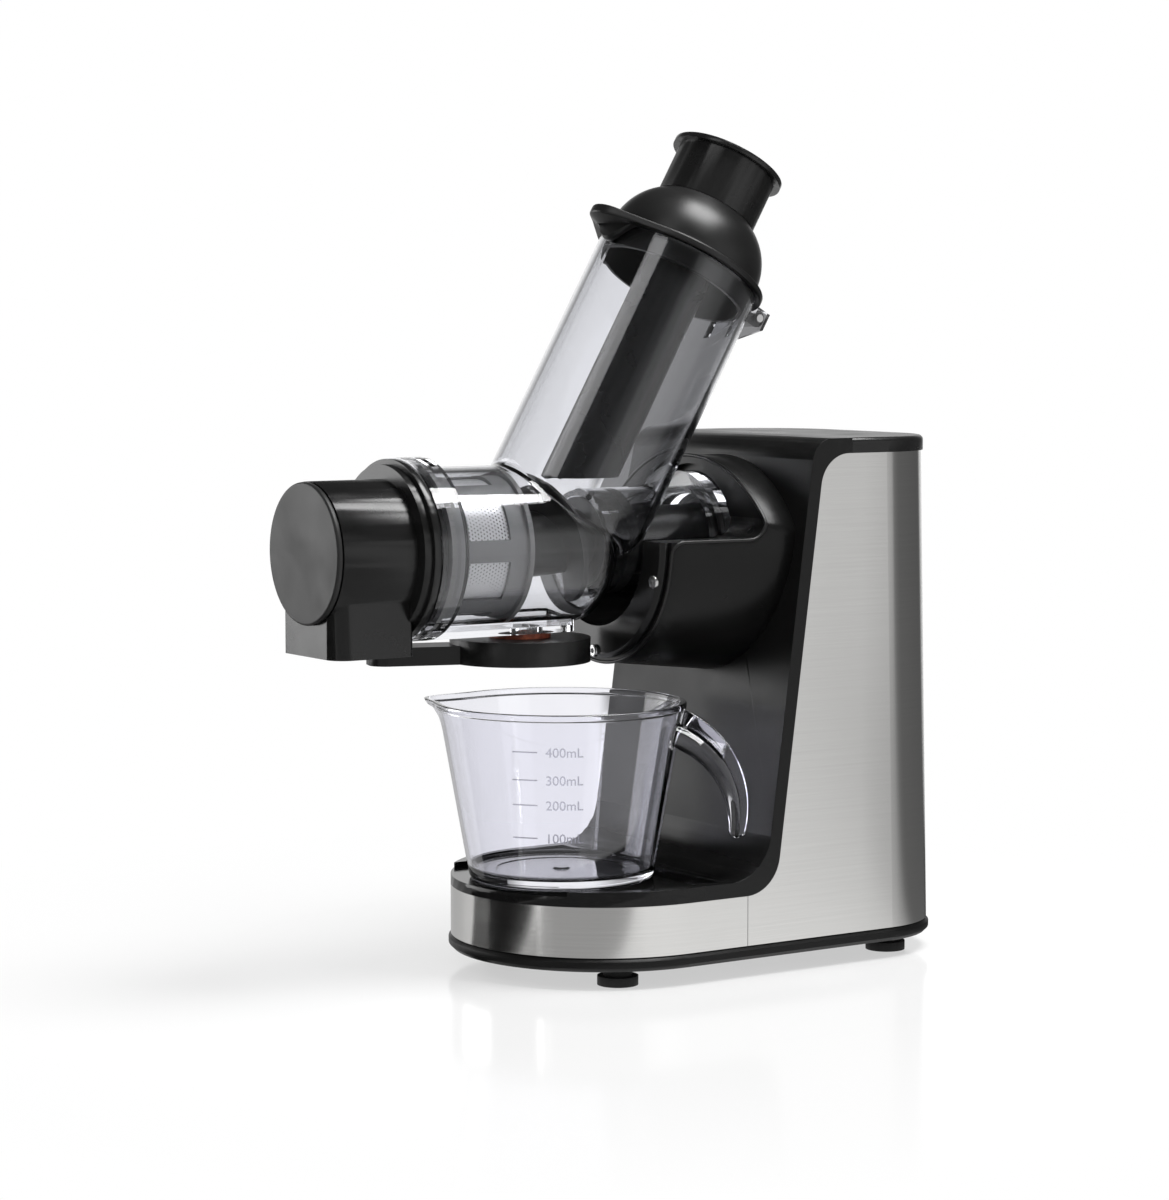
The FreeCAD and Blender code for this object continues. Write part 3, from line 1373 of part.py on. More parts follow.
def make_sieve():
    """Black sieve cup that hangs under the drum outlet, with a flat handle, and its mesh."""
    cup = Piece("juice_sieve")
    radius, wall = size("sieve_radius"), size("sieve_wall")
    low, high = size("sieve_bottom_z"), size("sieve_top_z")
    hole = size("outlet_radius")
    profile = [
        (radius - wall * 3, low), (radius, low), (radius, high), (hole, high), (hole, high - wall),
        (radius - wall, high - wall), (radius - wall, low + wall), (radius - wall * 3, low + wall),
    ]
    cup.revolve(cup.sketch("YZ_Plane", [profile]), "V_Axis")
    half, reach = size("sieve_handle_half"), size("sieve_handle")
    corner = half - wall
    grip = [
        (-half, wall - radius), (-half, corner - reach), Arc(corner, True), (corner - half, -reach),
        (half - corner, -reach), Arc(corner, True), (half, corner - reach), (half, wall - radius),
    ]
    cup.pad(cup.sketch("XY_Plane", [grip], at_height(low)), size("sieve_handle_thick"))
    mesh = Piece("sieve_mesh")
    disc = [Circle(0, 0, radius - wall * 2)]
    mesh.pad(mesh.sketch("XY_Plane", disc, at_height(low + wall)), size("mesh_gauge"))
    for piece in (cup, mesh):
        piece.body.Placement = FreeCAD.Placement(
            FreeCAD.Vector(), FreeCAD.Rotation(FreeCAD.Vector(0, 0, 1), size("sieve_turn").value))
        bind(piece.body, ".Placement.Rotation.Angle", size("sieve_turn"))
        bind(piece.body, ".Placement.Base.y", size("outlet_y"))


def make_jug():
    """Clear jug with a rim bead, a spout and a hook handle."""
    jug = Piece("jug")
    low = TRAY_FLOOR + size("free_gap")
    top = size("jug_rim_z")
    base, rim = size("jug_base_radius"), size("jug_rim_radius")
    wall, floor, bead = size("jug_wall"), size("jug_floor"), size("jug_bead")
    body = [
        (0, low), (base - bead, low), (base, low + bead), (rim, top - bead * 2), (rim + bead, top - bead * 2),
        (rim + bead, top), (0, top),
    ]
    jug.revolve(jug.sketch("YZ_Plane", [body]), "V_Axis")
    reach, half = size("spout_reach"), size("spout_half")
    drop = size("spout_drop")
    beak = [(-half, half - rim), (0, -reach), (half, half - rim)]
    beak_root = base + (rim - base) * (top - drop - low) / (top - low)
    chin = [(-bead, bead - beak_root), (0, -beak_root), (bead, bead - beak_root)]
    jug.loft(jug.sketch("XY_Plane", [chin], at_height(top - drop)),
             jug.sketch("XY_Plane", [beak], at_height(top)))
    outer_hook = size("handle_outer_curve")
    inner_hook = size("handle_inner_curve")
    thick = size("handle_thick")
    tip = size("handle_tip_z")
    far = size("handle_tip_out")
    hook = [
        (rim - wall, top - bead), Arc(outer_hook, False), (far, tip + thick / 2), Arc(thick / 2, False),
        (far - thick / 2, tip), Arc(thick / 2, False), (far - thick, tip + thick / 2), Arc(inner_hook, True),
        (rim - wall, top - size("handle_root")),
    ]
    jug.pad(jug.sketch("YZ_Plane", [hook]), size("handle_half") * 2, both=True)
    inside = [
        (0, low + floor), (base - wall, low + floor), (rim - wall, top), (rim - wall, top + bead),
        (0, top + bead),
    ]
    jug.groove(jug.sketch("YZ_Plane", [inside]), "V_Axis")
    mouth = [(wall * 2 - half, half - rim), (0, wall * 2 - reach), (half - wall * 2, half - rim)]
    gullet = [(-bead, half - beak_root), (0, wall * 2 - beak_root), (bead, half - beak_root)]
    jug.hollow_loft(jug.sketch("XY_Plane", [gullet], at_height(top - drop + wall)),
                    jug.sketch("XY_Plane", [mouth], at_height(top)))
    jug.body.Placement = FreeCAD.Placement(
        FreeCAD.Vector(), FreeCAD.Rotation(FreeCAD.Vector(0, 0, 1), size("jug_turn").value))
    bind(jug.body, ".Placement.Rotation.Angle", size("jug_turn"))
    bind(jug.body, ".Placement.Base.y", size("jug_y"))


def main():
    make_base_plate()
    make_feet()
    make_front_shell()
    make_front_band()
    make_steel_wrap()
    make_top_cap()
    make_rear_cover()
    make_switch()
    make_collar()
    make_drum()
    make_lid()
    make_pusher()
    make_front_cap()
    make_strainer()
    make_auger()
    make_drive()
    make_gears()
    make_gear_case()
    make_motor()
    make_sieve()
    make_jug()


main()
doc.recompute()
for item in doc.Objects:
    if "Invalid" in item.State or "Error" in item.State:
        raise RuntimeError(f"{item.Label} did not recompute")
os.makedirs("parts", exist_ok=True)
for name, piece in PIECES.items():
    if piece.Shape.isNull() or not piece.Shape.isValid():
        raise RuntimeError(f"{name} has no valid shape")
    piece.Shape.exportStep(f"parts/{name}.step")
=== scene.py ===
import json
import logging
import math
from dataclasses import dataclass
from enum import Enum
from functools import cache
from typing import Dict, List, Sequence, Tuple

import bmesh
import bpy
from mathutils import Matrix, Vector

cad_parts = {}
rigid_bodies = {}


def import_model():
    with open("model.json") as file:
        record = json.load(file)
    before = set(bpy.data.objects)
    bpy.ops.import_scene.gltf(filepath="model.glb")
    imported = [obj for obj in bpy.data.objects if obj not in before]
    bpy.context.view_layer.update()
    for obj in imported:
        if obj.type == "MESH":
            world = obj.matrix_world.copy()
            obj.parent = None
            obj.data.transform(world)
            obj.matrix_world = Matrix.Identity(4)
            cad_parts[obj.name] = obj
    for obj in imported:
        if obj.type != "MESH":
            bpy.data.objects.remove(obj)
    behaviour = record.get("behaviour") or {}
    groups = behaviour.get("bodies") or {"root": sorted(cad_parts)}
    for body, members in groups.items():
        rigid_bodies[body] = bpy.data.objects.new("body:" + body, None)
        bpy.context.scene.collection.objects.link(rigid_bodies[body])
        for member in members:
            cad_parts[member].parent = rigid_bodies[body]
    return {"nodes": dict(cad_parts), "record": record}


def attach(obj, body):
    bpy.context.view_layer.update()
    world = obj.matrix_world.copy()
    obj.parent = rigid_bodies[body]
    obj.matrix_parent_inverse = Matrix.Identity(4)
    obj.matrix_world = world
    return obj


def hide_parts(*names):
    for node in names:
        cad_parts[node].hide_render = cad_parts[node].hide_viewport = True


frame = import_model()

log = logging.getLogger("slow_juicer")

Colour = Tuple[float, float, float, float]
Point = Tuple[float, float, float]
Flat = Tuple[float, float]
Corner = Tuple[float, float, float]
Skin = Tuple[List[Vector], List[List[int]]]
Inputs = Dict[object, object]
Node = bpy.types.Node
Socket = bpy.types.NodeSocket
Tree = bpy.types.NodeTree
Material = bpy.types.Material
Piece = bpy.types.Object

MM = 0.001
UNIT: Flat = (0.0, 1.0)
WELD = MM / 500
MERGE = MM / 1000
PLASTIC_IOR = 1.49
QUARTER_TURN = 0.25
TINY = 1e-6
# Height of the drum's axis in millimetres.
DRUM_AXIS = 210.7
# Ranges that the mottling and the scratches mostly keep to.
MOTTLE_SPAN: Flat = (0.3, 0.7)
SCRATCH_SPAN: Flat = (0.25, 0.75)
# Ranges over which smears, sharp edges and rubbed patches come in.
SMEAR_SPAN: Flat = (0.5, 0.78)
EDGE_SPAN: Flat = (0.53, 0.62)
PATCH_SPAN: Flat = (0.4, 0.7)
# Width of the rounding on the edges of moulded nodes.
SOFT_EDGES: Dict[float, Sequence[str]] = {
    0.7 * MM: ("front_cap", "cap_face_disc", "pusher", "juice_sieve", "front_shell", "collar_shell",
               "collar_ring", "top_cap", "rear_cover", "base_plate"),
    0.5 * MM: ("rubber_feet", "switch_frame", "rocker", "cord_gland"),
}
# Bearing in degrees and brightness of what the metal mirrors, with the two ends of the ramp first.
STUDIO_LEVELS: Sequence[Flat] = (
    (-180.0, 0.50), (180.0, 0.50), (-145.0, 0.62), (-142.0, 0.01), (-100.0, 0.01), (-77.0, 0.05),
    (-75.0, 1.0), (-72.0, 1.0), (-70.0, 0.40), (-3.0, 0.40), (0.0, 0.94), (20.0, 0.88), (31.0, 0.76),
    (36.0, 0.58), (40.0, 0.52), (44.0, 0.44), (48.0, 0.36), (52.0, 0.27), (56.0, 0.18), (63.0, 0.14),
    (118.0, 0.10), (132.0, 1.0), (160.0, 1.0), (172.0, 0.50),
)
# Bearings over which the grey card behind the clear pieces stops and starts, and its shade.
CARD_EDGE: Flat = (145.6, 146.2)
CARD_END: Flat = (112.5, 122.5)
CARD_SHADE = 0.22


class HoleField(Enum):
    """How a field of punched holes lies: round the drum, or flat."""

    ROUND_DRUM = "round_drum"
    FLAT = "flat"


class Ray(Enum):
    """Outputs of the Light Path node that tell how the backdrop is seen."""

    CAMERA = "Is Camera Ray"
    GLOSSY = "Is Glossy Ray"
    TRANSMISSION = "Is Transmission Ray"
    MIRRORED = "Glossy Depth"


def grey(value: float) -> Colour:
    """A neutral colour of one value."""
    return (value, value, value, 1.0)


def scaled(colour: Colour, factor: float) -> Colour:
    """A colour made lighter or darker."""
    return tuple(min(1.0, part * factor) for part in colour[:3]) + (1.0,)


class NodeDesk:
    """Adds and links nodes of one tree."""

    def __init__(self, tree: Tree) -> None:
        """Take a tree and empty it."""
        self.tree = tree
        tree.nodes.clear()

    def feed(self, node: Node, inputs: Inputs) -> Node:
        """Link a node's inputs, or set their values.

        Args:
            node: Node to feed.
            inputs: Values or sockets, by input name or index.

        Returns:
            The node.
        """
        for name, value in inputs.items():
            if isinstance(value, Socket):
                self.tree.links.new(value, node.inputs[name])
            else:
                node.inputs[name].default_value = value
        return node

    def add(self, kind: str, inputs: Inputs | None = None, **settings: object) -> Node:
        """Add a node.

        Args:
            kind: Node type without the ShaderNode prefix.
            inputs: Values or sockets for the node's inputs, by input name or index.
            settings: Properties of the node.

        Returns:
            The new node.
        """
        node = self.tree.nodes.new(kind if kind.startswith("Node") else f"ShaderNode{kind}")
        for name, value in settings.items():
            setattr(node, name, value)
        return self.feed(node, inputs or {})

    def math(self, operation: str, first: object, second: object = 0.0, third: object = 0.0) -> Socket:
        """Result of a Math node."""
        return self.add("Math", {0: first, 1: second, 2: third}, operation=operation).outputs[0]

    def spread(self, value: object, start: Flat, end: Flat) -> Socket:
        """A value mapped from one range onto another, and held at the ends."""
        return self.add("MapRange", {0: value, 1: start[0], 2: start[1], 3: end[0], 4: end[1]}).outputs[0]

    def blend(self, share: object, first: object, second: object) -> Socket:
        """A mix of two colours, by the share of the second."""
        return self.add("Mix", {0: share, 6: first, 7: second}, data_type="RGBA").outputs[2]

    def place(self, kind: str = "Object") -> Socket:
        """Texture coordinates of one kind."""
        return self.add("TexCoord").outputs[kind]

    def parts(self, vector: Socket) -> Sequence[Socket]:
        """The three parts of a vector."""
        return self.add("SeparateXYZ", {0: vector}).outputs

    def noise(self, place: Socket, scale: object, detail: float, distortion: float = 0.0) -> Socket:
        """Noise at a place."""
        inputs = {"Vector": place, "Scale": scale, "Detail": detail, "Distortion": distortion}
        return self.add("TexNoise", inputs).outputs["Fac"]

    def effect(self, tree: Tree, inputs: Inputs | None = None) -> Sequence[Socket]:
        """Outputs of a shared effect."""
        return self.add("Group", inputs, node_tree=tree).outputs


def start_group(name: str, inputs: Dict[str, float],
                outputs: Sequence[str]) -> Tuple[NodeDesk, Sequence[Socket]]:
    """Start a group of float sockets.

    Args:
        name: Name of the group.
        inputs: Names and starting values of its inputs.
        outputs: Names of its outputs.

    Returns:
        A desk on the group's tree, and what comes in.
    """
    tree = bpy.data.node_groups.new(name, "ShaderNodeTree")
    for label, value in inputs.items():
        socket = tree.interface.new_socket(label, in_out="INPUT", socket_type="NodeSocketFloat")
        socket.default_value = value
    for label in outputs:
        tree.interface.new_socket(label, in_out="OUTPUT", socket_type="NodeSocketFloat")
    desk = NodeDesk(tree)
    return desk, desk.add("NodeGroupInput").outputs


def close_group(desk: NodeDesk, *values: Socket) -> Tree:
    """Give a group its results."""
    desk.add("NodeGroupOutput", dict(enumerate(values)))
    return desk.tree


@cache
def moulded_grain() -> Tree:
    """Fine grain and slow mottling of moulded plastic.

    Returns:
        The group.
    """
    inputs = {"Grain Scale": 4000.0, "Mottle Scale": 40.0}
    desk, given = start_group("moulded_grain", inputs, ["Height", "Mottle"])
    place = desk.place()
    grain, mottle = desk.noise(place, given[0], detail=2.0), desk.noise(place, given[1], detail=4.0)
    return close_group(desk, grain, mottle)


@cache
def brush_lines() -> Tree:
    """Long level scratches, fine and in streaks.

    Returns:
        The group.
    """
    inputs = {"Level Scale": 25.0, "Upright Scale": 5200.0}
    desk, given = start_group("brush_lines", inputs, ["Height", "Streak"])
    scale = desk.add("CombineXYZ", {0: given[0], 1: given[0], 2: given[1]}).outputs[0]
    place = desk.add("VectorMath", {0: desk.place(), 1: scale}, operation="MULTIPLY").outputs[0]
    fine, streak = desk.noise(place, scale=1.0, detail=3.0), desk.noise(place, scale=0.4, detail=5.0)
    return close_group(desk, fine, streak)


@cache
def handling_film() -> Tree:
    """Faint smears and settled dust, as a mask that is mostly empty.

    Returns:
        The group.
    """
    desk, given = start_group("handling_film", {"Scale": 30.0}, ["Mask"])
    smear = desk.noise(desk.place(), given[0], detail=6.0, distortion=1.2)
    return close_group(desk, desk.spread(smear, SMEAR_SPAN, UNIT))


@cache
def edge_wear() -> Tree:
    """Mask of the edges that hands and cloths rub.

    Returns:
        The group.
    """
    desk, given = start_group("edge_wear", {"Breakup": 260.0}, ["Mask"])
    sharp = desk.spread(desk.add("NewGeometry").outputs["Pointiness"], EDGE_SPAN, UNIT)
    patch = desk.spread(desk.noise(desk.place(), given[0], detail=3.0), PATCH_SPAN, UNIT)
    return close_group(desk, desk.math("MULTIPLY", sharp, patch))


@cache
def punched_holes() -> Tree:
    """Mask of round holes in staggered rows, from two lengths along the sheet.

    Returns:
        The group.
    """
    inputs = dict.fromkeys(("Along", "Across", "Pitch", "Hole"), 1.0)
    desk, given = start_group("punched_holes", inputs, ["Mask"])
    along, across, pitch, hole = given[:4]
    rise = math.sqrt(0.75)
    row = desk.math("DIVIDE", across, desk.math("MULTIPLY", pitch, rise))
    stagger = desk.math("MULTIPLY", desk.math("FLOOR", row), 0.5)
    column = desk.math("ADD", desk.math("DIVIDE", along, pitch), stagger)
    side = desk.math("SUBTRACT", desk.math("FRACT", column), 0.5)
    lift = desk.math("MULTIPLY", desk.math("SUBTRACT", desk.math("FRACT", row), 0.5), rise)
    away = desk.math("SQRT", desk.math("MULTIPLY_ADD", side, side, desk.math("MULTIPLY", lift, lift)))
    return close_group(desk, desk.math("LESS_THAN", away, hole))


@cache
def grey_card() -> Tree:
    """Grey card on the right of the white backdrop, as clear pieces show it, by its bearing.

    Returns:
        The group.
    """
    desk, given = start_group("grey_card", {"Across": 1.0, "Along": 0.0}, ["Level"])
    bearing = desk.math("DEGREES", desk.math("ARCTAN2", given[1], given[0]))
    card = desk.math("MULTIPLY", desk.spread(bearing, CARD_EDGE, (1.0, 0.0)),
                     desk.spread(bearing, CARD_END, UNIT))
    return close_group(desk, desk.spread(card, UNIT, (1.0, CARD_SHADE)))


@cache
def studio_round() -> Tree:
    """Pale cards and dark flags round the machine, as its metal mirrors them, by their bearing.

    Returns:
        The group.
    """
    desk, given = start_group("studio_round", {"Across": 1.0, "Along": 0.0}, ["Level"])
    bearing = desk.math("ARCTAN2", given[1], given[0])
    ramp = desk.add("ValToRGB", {0: desk.spread(bearing, (-math.pi, math.pi), UNIT)})
    stops = ramp.color_ramp.elements
    for number, (degrees, level) in enumerate(STUDIO_LEVELS):
        place = (degrees + 180.0) / 360.0
        stop = stops[number] if number < 2 else stops.new(place)
        stop.position = place
        stop.color = grey(level)
    return close_group(desk, ramp.outputs[0])


def start_material(name: str, constants: Dict[str, object]) -> Tuple[NodeDesk, Node]:
    """Start a material with a Principled BSDF.

    Args:
        name: Name of the material.
        constants: Values for the shader's own sockets.

    Returns:
        A desk on its tree, and the shader.
    """
    material = bpy.data.materials.new(name)
    material.use_nodes = True
    desk = NodeDesk(material.node_tree)
    shader = desk.add("BsdfPrincipled", constants)
    desk.add("OutputMaterial", {"Surface": shader.outputs[0]})
    return desk, shader


@dataclass(frozen=True)
class Finish:
    """A material, by its name, colour and roughness."""

    name: str
    colour: Colour
    roughness: float

    def build(self) -> Tuple[NodeDesk, Node]:
        """Lay out the material's nodes, and return their desk and the shader."""
        raise NotImplementedError

    def material(self) -> Material:
        """Build the material."""
        self.build()
        return bpy.data.materials[self.name]


@dataclass(frozen=True)
class PlasticFinish(Finish):
    """Opaque moulded plastic or rubber."""

    grain: float = 4500.0
    grain_height: float = MM / 10
    depth: float = 0.05
    mottle: Flat = (0.85, 1.2)
    vary: float = 0.04
    worn: float = 2.2
    specular: float = 0.42
    polished_below: float = 0.0
    polish: float = 0.10
    polish_fade: float = 12 * MM

    def build(self) -> Tuple[NodeDesk, Node]:
        """Lay out the material's nodes.

        Returns:
            The desk on its tree, and the shader.
        """
        desk, shader = start_material(self.name, {"IOR": PLASTIC_IOR, "Specular IOR Level": self.specular})
        grain = desk.effect(moulded_grain(), {"Grain Scale": self.grain})
        film = desk.effect(handling_film())["Mask"]
        wear = desk.effect(edge_wear())["Mask"]
        dark, light = (scaled(self.colour, factor) for factor in self.mottle)
        body = desk.blend(grain["Mottle"], dark, light)
        limits = (self.roughness - self.vary, self.roughness + self.vary)
        rough = desk.spread(grain["Mottle"], MOTTLE_SPAN, limits)
        rough = desk.math("MULTIPLY_ADD", film, self.vary, rough)
        if self.polished_below:
            height = desk.parts(desk.place())[2]
            limits = (self.polished_below, self.polished_below + self.polish_fade)
            rough = desk.spread(height, limits, (self.polish, rough))
        bump = desk.add("Bump", {"Height": grain["Height"], "Strength": self.depth,
                                 "Distance": self.grain_height})
        desk.feed(shader, {
            "Base Color": desk.blend(wear, body, scaled(self.colour, self.worn)),
            "Roughness": rough,
            "Normal": bump.outputs[0],
        })
        return desk, shader


@dataclass(frozen=True)
class BrushedFinish(Finish):
    """Brushed or turned metal."""

    line_height: float = MM / 20
    depth: float = 0.08
    streak: Flat = (0.93, 1.05)
    vary: Flat = (-0.05, 0.06)
    smear: float = 0.03
    anisotropy: float = 0.0
    metal: float = 1.0
    bow: float = 0.0
    bow_from: float = 0.0

    def build(self) -> Tuple[NodeDesk, Node]:
        """Lay out the material's nodes.

        Returns:
            The desk on its tree, and the shader.
        """
        desk, shader = start_material(self.name, {
            "Metallic": self.metal, "Anisotropic": self.anisotropy, "Anisotropic Rotation": QUARTER_TURN,
        })
        brush = desk.effect(brush_lines())
        film = desk.effect(handling_film())["Mask"]
        dark, light = (scaled(self.colour, factor) for factor in self.streak)
        low, high = (self.roughness + step for step in self.vary)
        rough = desk.spread(brush["Height"], SCRATCH_SPAN, (low, high))
        bump = desk.add("Bump", {"Height": brush["Height"], "Strength": self.depth,
                                 "Distance": self.line_height})
        if self.bow:
            depth = desk.parts(desk.place())[1]
            past = desk.math("MAXIMUM", desk.math("SUBTRACT", depth, self.bow_from), 0.0)
            fall = desk.math("MULTIPLY", desk.math("MULTIPLY", past, past), -self.bow / 2)
            bowed = desk.add("Bump", {"Height": fall, "Strength": 1.0, "Distance": 1.0})
            desk.feed(bump, {"Normal": bowed.outputs[0]})
        desk.feed(shader, {
            "Base Color": desk.blend(brush["Streak"], dark, light),
            "Roughness": desk.math("MULTIPLY_ADD", film, self.smear, rough),
            "Normal": bump.outputs[0],
        })
        return desk, shader


@dataclass(frozen=True)
class PunchedFinish(BrushedFinish):
    """Steel sheet with fine punched holes."""

    field: HoleField = HoleField.FLAT
    pitch: float = 1.5 * MM
    hole: float = 0.26
    axis_height: float = DRUM_AXIS * MM
    sleeve_radius: float = 32.4 * MM

    def build(self) -> Tuple[NodeDesk, Node]:
        """Lay out the material's nodes.

        Returns:
            The desk on its tree, and the shader.
        """
        desk, shader = super().build()
        along, across, height = desk.parts(desk.place())[:3]
        if self.field is HoleField.ROUND_DRUM:
            above = desk.math("SUBTRACT", height, self.axis_height)
            along = desk.math("MULTIPLY", desk.math("ARCTAN2", along, above), self.sleeve_radius)
        sheet = {"Along": along, "Across": across, "Pitch": self.pitch, "Hole": self.hole}
        holes = desk.effect(punched_holes(), sheet)["Mask"]
        desk.feed(shader, {"Alpha": desk.math("SUBTRACT", 1.0, holes)})
        return desk, shader


@dataclass(frozen=True)
class ClearFinish(Finish):
    """Clear moulded plastic with faint flow marks."""

    roughness: float = 0.015
    haze: float = 0.02
    film_shade: float = 0.98
    flow: float = 60.0
    depth: float = 0.015

    def build(self) -> Tuple[NodeDesk, Node]:
        """Lay out the material's nodes.

        Returns:
            The desk on its tree, and the shader.
        """
        desk, shader = start_material(self.name, {"Transmission Weight": 1.0, "IOR": PLASTIC_IOR})
        marks = desk.effect(moulded_grain(), {"Grain Scale": self.flow})["Height"]
        film = desk.effect(handling_film())["Mask"]
        bump = desk.add("Bump", {"Height": marks, "Strength": self.depth, "Distance": MM})
        desk.feed(shader, {
            "Base Color": desk.blend(film, self.colour, scaled(self.colour, self.film_shade)),
            "Roughness": desk.spread(film, UNIT, (self.roughness, self.roughness + self.haze)),
            "Normal": bump.outputs[0],
        })
        return desk, shader


class Finishes:
    """Every finish of the machine, by the record's slot, and those of single nodes."""

    SLOTS: Dict[str, Finish] = {
        "housing_black": PlasticFinish("housing_black_satin", grey(0.008), 0.30),
        "lid_black": PlasticFinish("lid_black_semigloss", grey(0.007), 0.36, depth=0.03),
        "auger_black": PlasticFinish("auger_black_satin", grey(0.010), 0.38),
        "foot_rubber": PlasticFinish("foot_rubber_matt", grey(0.014), 0.72, depth=0.2),
        "seal_silicone": PlasticFinish("seal_grey_silicone", grey(0.03), 0.5),
        "outlet_silicone": PlasticFinish("outlet_red_silicone", (0.30, 0.08, 0.045, 1.0), 0.45),
        "switch_black": PlasticFinish("switch_black_gloss", grey(0.01), 0.2),
        "gear_plastic": PlasticFinish("gear_cream_plastic", (0.78, 0.75, 0.66, 1.0), 0.45, worn=1.1),
        "case_plastic": PlasticFinish("case_grey_plastic", grey(0.08), 0.5),
        "steel": BrushedFinish("brushed_stainless", (0.71, 0.705, 0.692, 1.0), 0.15, anisotropy=0.9,
                               bow=2.2, bow_from=0.102),
        "screw_steel": BrushedFinish("screw_plated_steel", grey(0.62), 0.2),
        "gear_metal": BrushedFinish("gear_turned_steel", grey(0.45), 0.35),
        "motor_metal": BrushedFinish("motor_plated_steel", grey(0.38), 0.42),
        "bush_bronze": BrushedFinish("bush_bronze_sinter", (0.52, 0.33, 0.14, 1.0), 0.4),
        "clear_plastic": ClearFinish("drum_clear_plastic", (0.90, 0.905, 0.93, 1.0)),
    }
    NODES: Dict[str, Finish] = {
        "cap_face_disc": PlasticFinish("disc_black_matt", grey(0.016), 0.46, grain=2600.0, depth=0.12),
        "collar_ring": PlasticFinish("ring_black_gloss", grey(0.008), 0.2, depth=0.02),
        "front_shell": PlasticFinish("shell_black_satin", grey(0.007), 0.34, specular=0.24,
                                     polished_below=46 * MM),
        "collar_shell": PlasticFinish("collar_black_satin", grey(0.006), 0.30, specular=0.2),
        "base_plate": PlasticFinish("base_black_satin", grey(0.006), 0.36, specular=0.2),
        "front_cap": PlasticFinish("cap_black_satin", grey(0.008), 0.24),
        "pusher": PlasticFinish("pusher_black_satin", grey(0.007), 0.28, depth=0.04),
        "strainer_frame": PlasticFinish("frame_smoke_grey", grey(0.24), 0.4, worn=1.2),
        "strainer_mesh": PunchedFinish("strainer_punched_steel", grey(0.92), 0.42, metal=0.4,
                                       field=HoleField.ROUND_DRUM, pitch=1.9 * MM, hole=0.27),
        "sieve_mesh": PunchedFinish("sieve_punched_steel", grey(0.60), 0.34, pitch=1.2 * MM),
    }
    PIECES: Dict[str, Finish] = {
        "jug_clear": ClearFinish("jug_clear_lilac", (0.925, 0.925, 0.975, 1.0)),
        "jug_mark": ClearFinish("jug_mark_frosted", (0.72, 0.72, 0.78, 1.0), 0.25),
    }

    def __init__(self) -> None:
        """Build each finish once."""
        groups = (self.SLOTS, self.NODES, self.PIECES)
        self.materials = {name: finish.material() for group in groups for name, finish in group.items()}

    def dress_nodes(self) -> None:
        """Give every construction node its finish."""
        for row in frame["record"]["subparts"]:
            name = row["node"]
            node = frame["nodes"][name]
            node.data.materials.clear()
            finish = name if name in self.materials else row["material_slot"]
            node.data.materials.append(self.materials[finish])
            log.info("dressed %s", name)


def soften(nodes: Sequence[str], width: float, sharp: float = 35.0) -> None:
    """Round the sharp edges of construction nodes, as a mould leaves them.

    Args:
        nodes: Names of the nodes.
        width: Width of the rounding.
        sharp: Angle in degrees above which an edge is rounded.
    """
    for name in nodes:
        node = frame["nodes"][name]
        weld = node.modifiers.new("weld", "WELD")
        weld.merge_threshold = WELD
        bevel = node.modifiers.new("round", "BEVEL")
        bevel.width = width
        bevel.segments = 2
        bevel.limit_method = "ANGLE"
        bevel.angle_limit = math.radians(sharp)
        bevel.harden_normals = True
        log.info("rounded %s", name)


def skin(rings: Sequence[Sequence[Vector]], capped: bool = True) -> Skin:
    """Join rings of points into a tube.

    Args:
        rings: Rings with the same number of points.
        capped: Whether the two ends are closed.

    Returns:
        Points and faces.
    """
    count = len(rings[0])
    points = [point for ring in rings for point in ring]
    faces = []
    for row in range(len(rings) - 1):
        for column in range(count):
            after = (column + 1) % count
            faces.append([row * count + column, row * count + after, (row + 1) * count + after,
                          (row + 1) * count + column])
    if capped:
        faces.append(list(range(count))[::-1])
        faces.append(list(range(len(points) - count, len(points))))
    return points, faces


def add_object(name: str, data: bpy.types.ID) -> Piece:
    """Add an object to the scene.

    Args:
        name: Name of the object.
        data: Its mesh, lamp or camera.

    Returns:
        The new object.
    """
    item = bpy.data.objects.new(name, data)
    bpy.context.scene.collection.objects.link(item)
    return item


def add_mesh(name: str, shape: Skin) -> Piece:
    """Add a mesh with its points merged and its faces turned outwards.

    Args:
        name: Name of the mesh and its object.
        shape: Points and faces.

    Returns:
        The new object.
    """
    mesh = bpy.data.meshes.new(name)
    mesh.from_pydata(shape[0], [], shape[1])
    work = bmesh.new()
    work.from_mesh(mesh)
    bmesh.ops.remove_doubles(work, verts=work.verts, dist=MERGE)
    bmesh.ops.recalc_face_normals(work, faces=work.faces)
    work.to_mesh(mesh)
    work.free()
    return add_object(name, mesh)


def make_piece(name: str, shape: Skin, material: Material, body: str, sharp: float = 40.0) -> Piece:
    """Make a smooth mesh piece that rides on a body.

    Args:
        name: Name of the piece.
        shape: Points and faces.
        material: Its finish.
        body: Body that it moves with.
        sharp: Angle in degrees above which an edge stays sharp.

    Returns:
        The new object.
    """
    item = add_mesh(name, shape)
    item.data.shade_smooth()
    item.data.set_sharp_from_angle(angle=math.radians(sharp))
    item.data.materials.append(material)
    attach(item, body)
    log.info("made %s", name)
    return item


def combine(item: Piece, other: Piece, operation: str) -> None:
    """Join another mesh to a piece, or cut it away, and drop the other.

    Args:
        item: Piece that is changed.
        other: Mesh that is joined or cut away.
        operation: UNION or DIFFERENCE.
    """
    change = item.modifiers.new("combine", "BOOLEAN")
    change.operation = operation
    change.object = other
    change.solver = "EXACT"
    whole = bpy.data.meshes.new_from_object(item.evaluated_get(bpy.context.evaluated_depsgraph_get()))
    item.modifiers.clear()
    item.data = whole
    bpy.data.objects.remove(other)


def full_turn(count: int) -> List[float]:
    """Even angles round a circle."""
    return [2 * math.pi * step / count for step in range(count)]


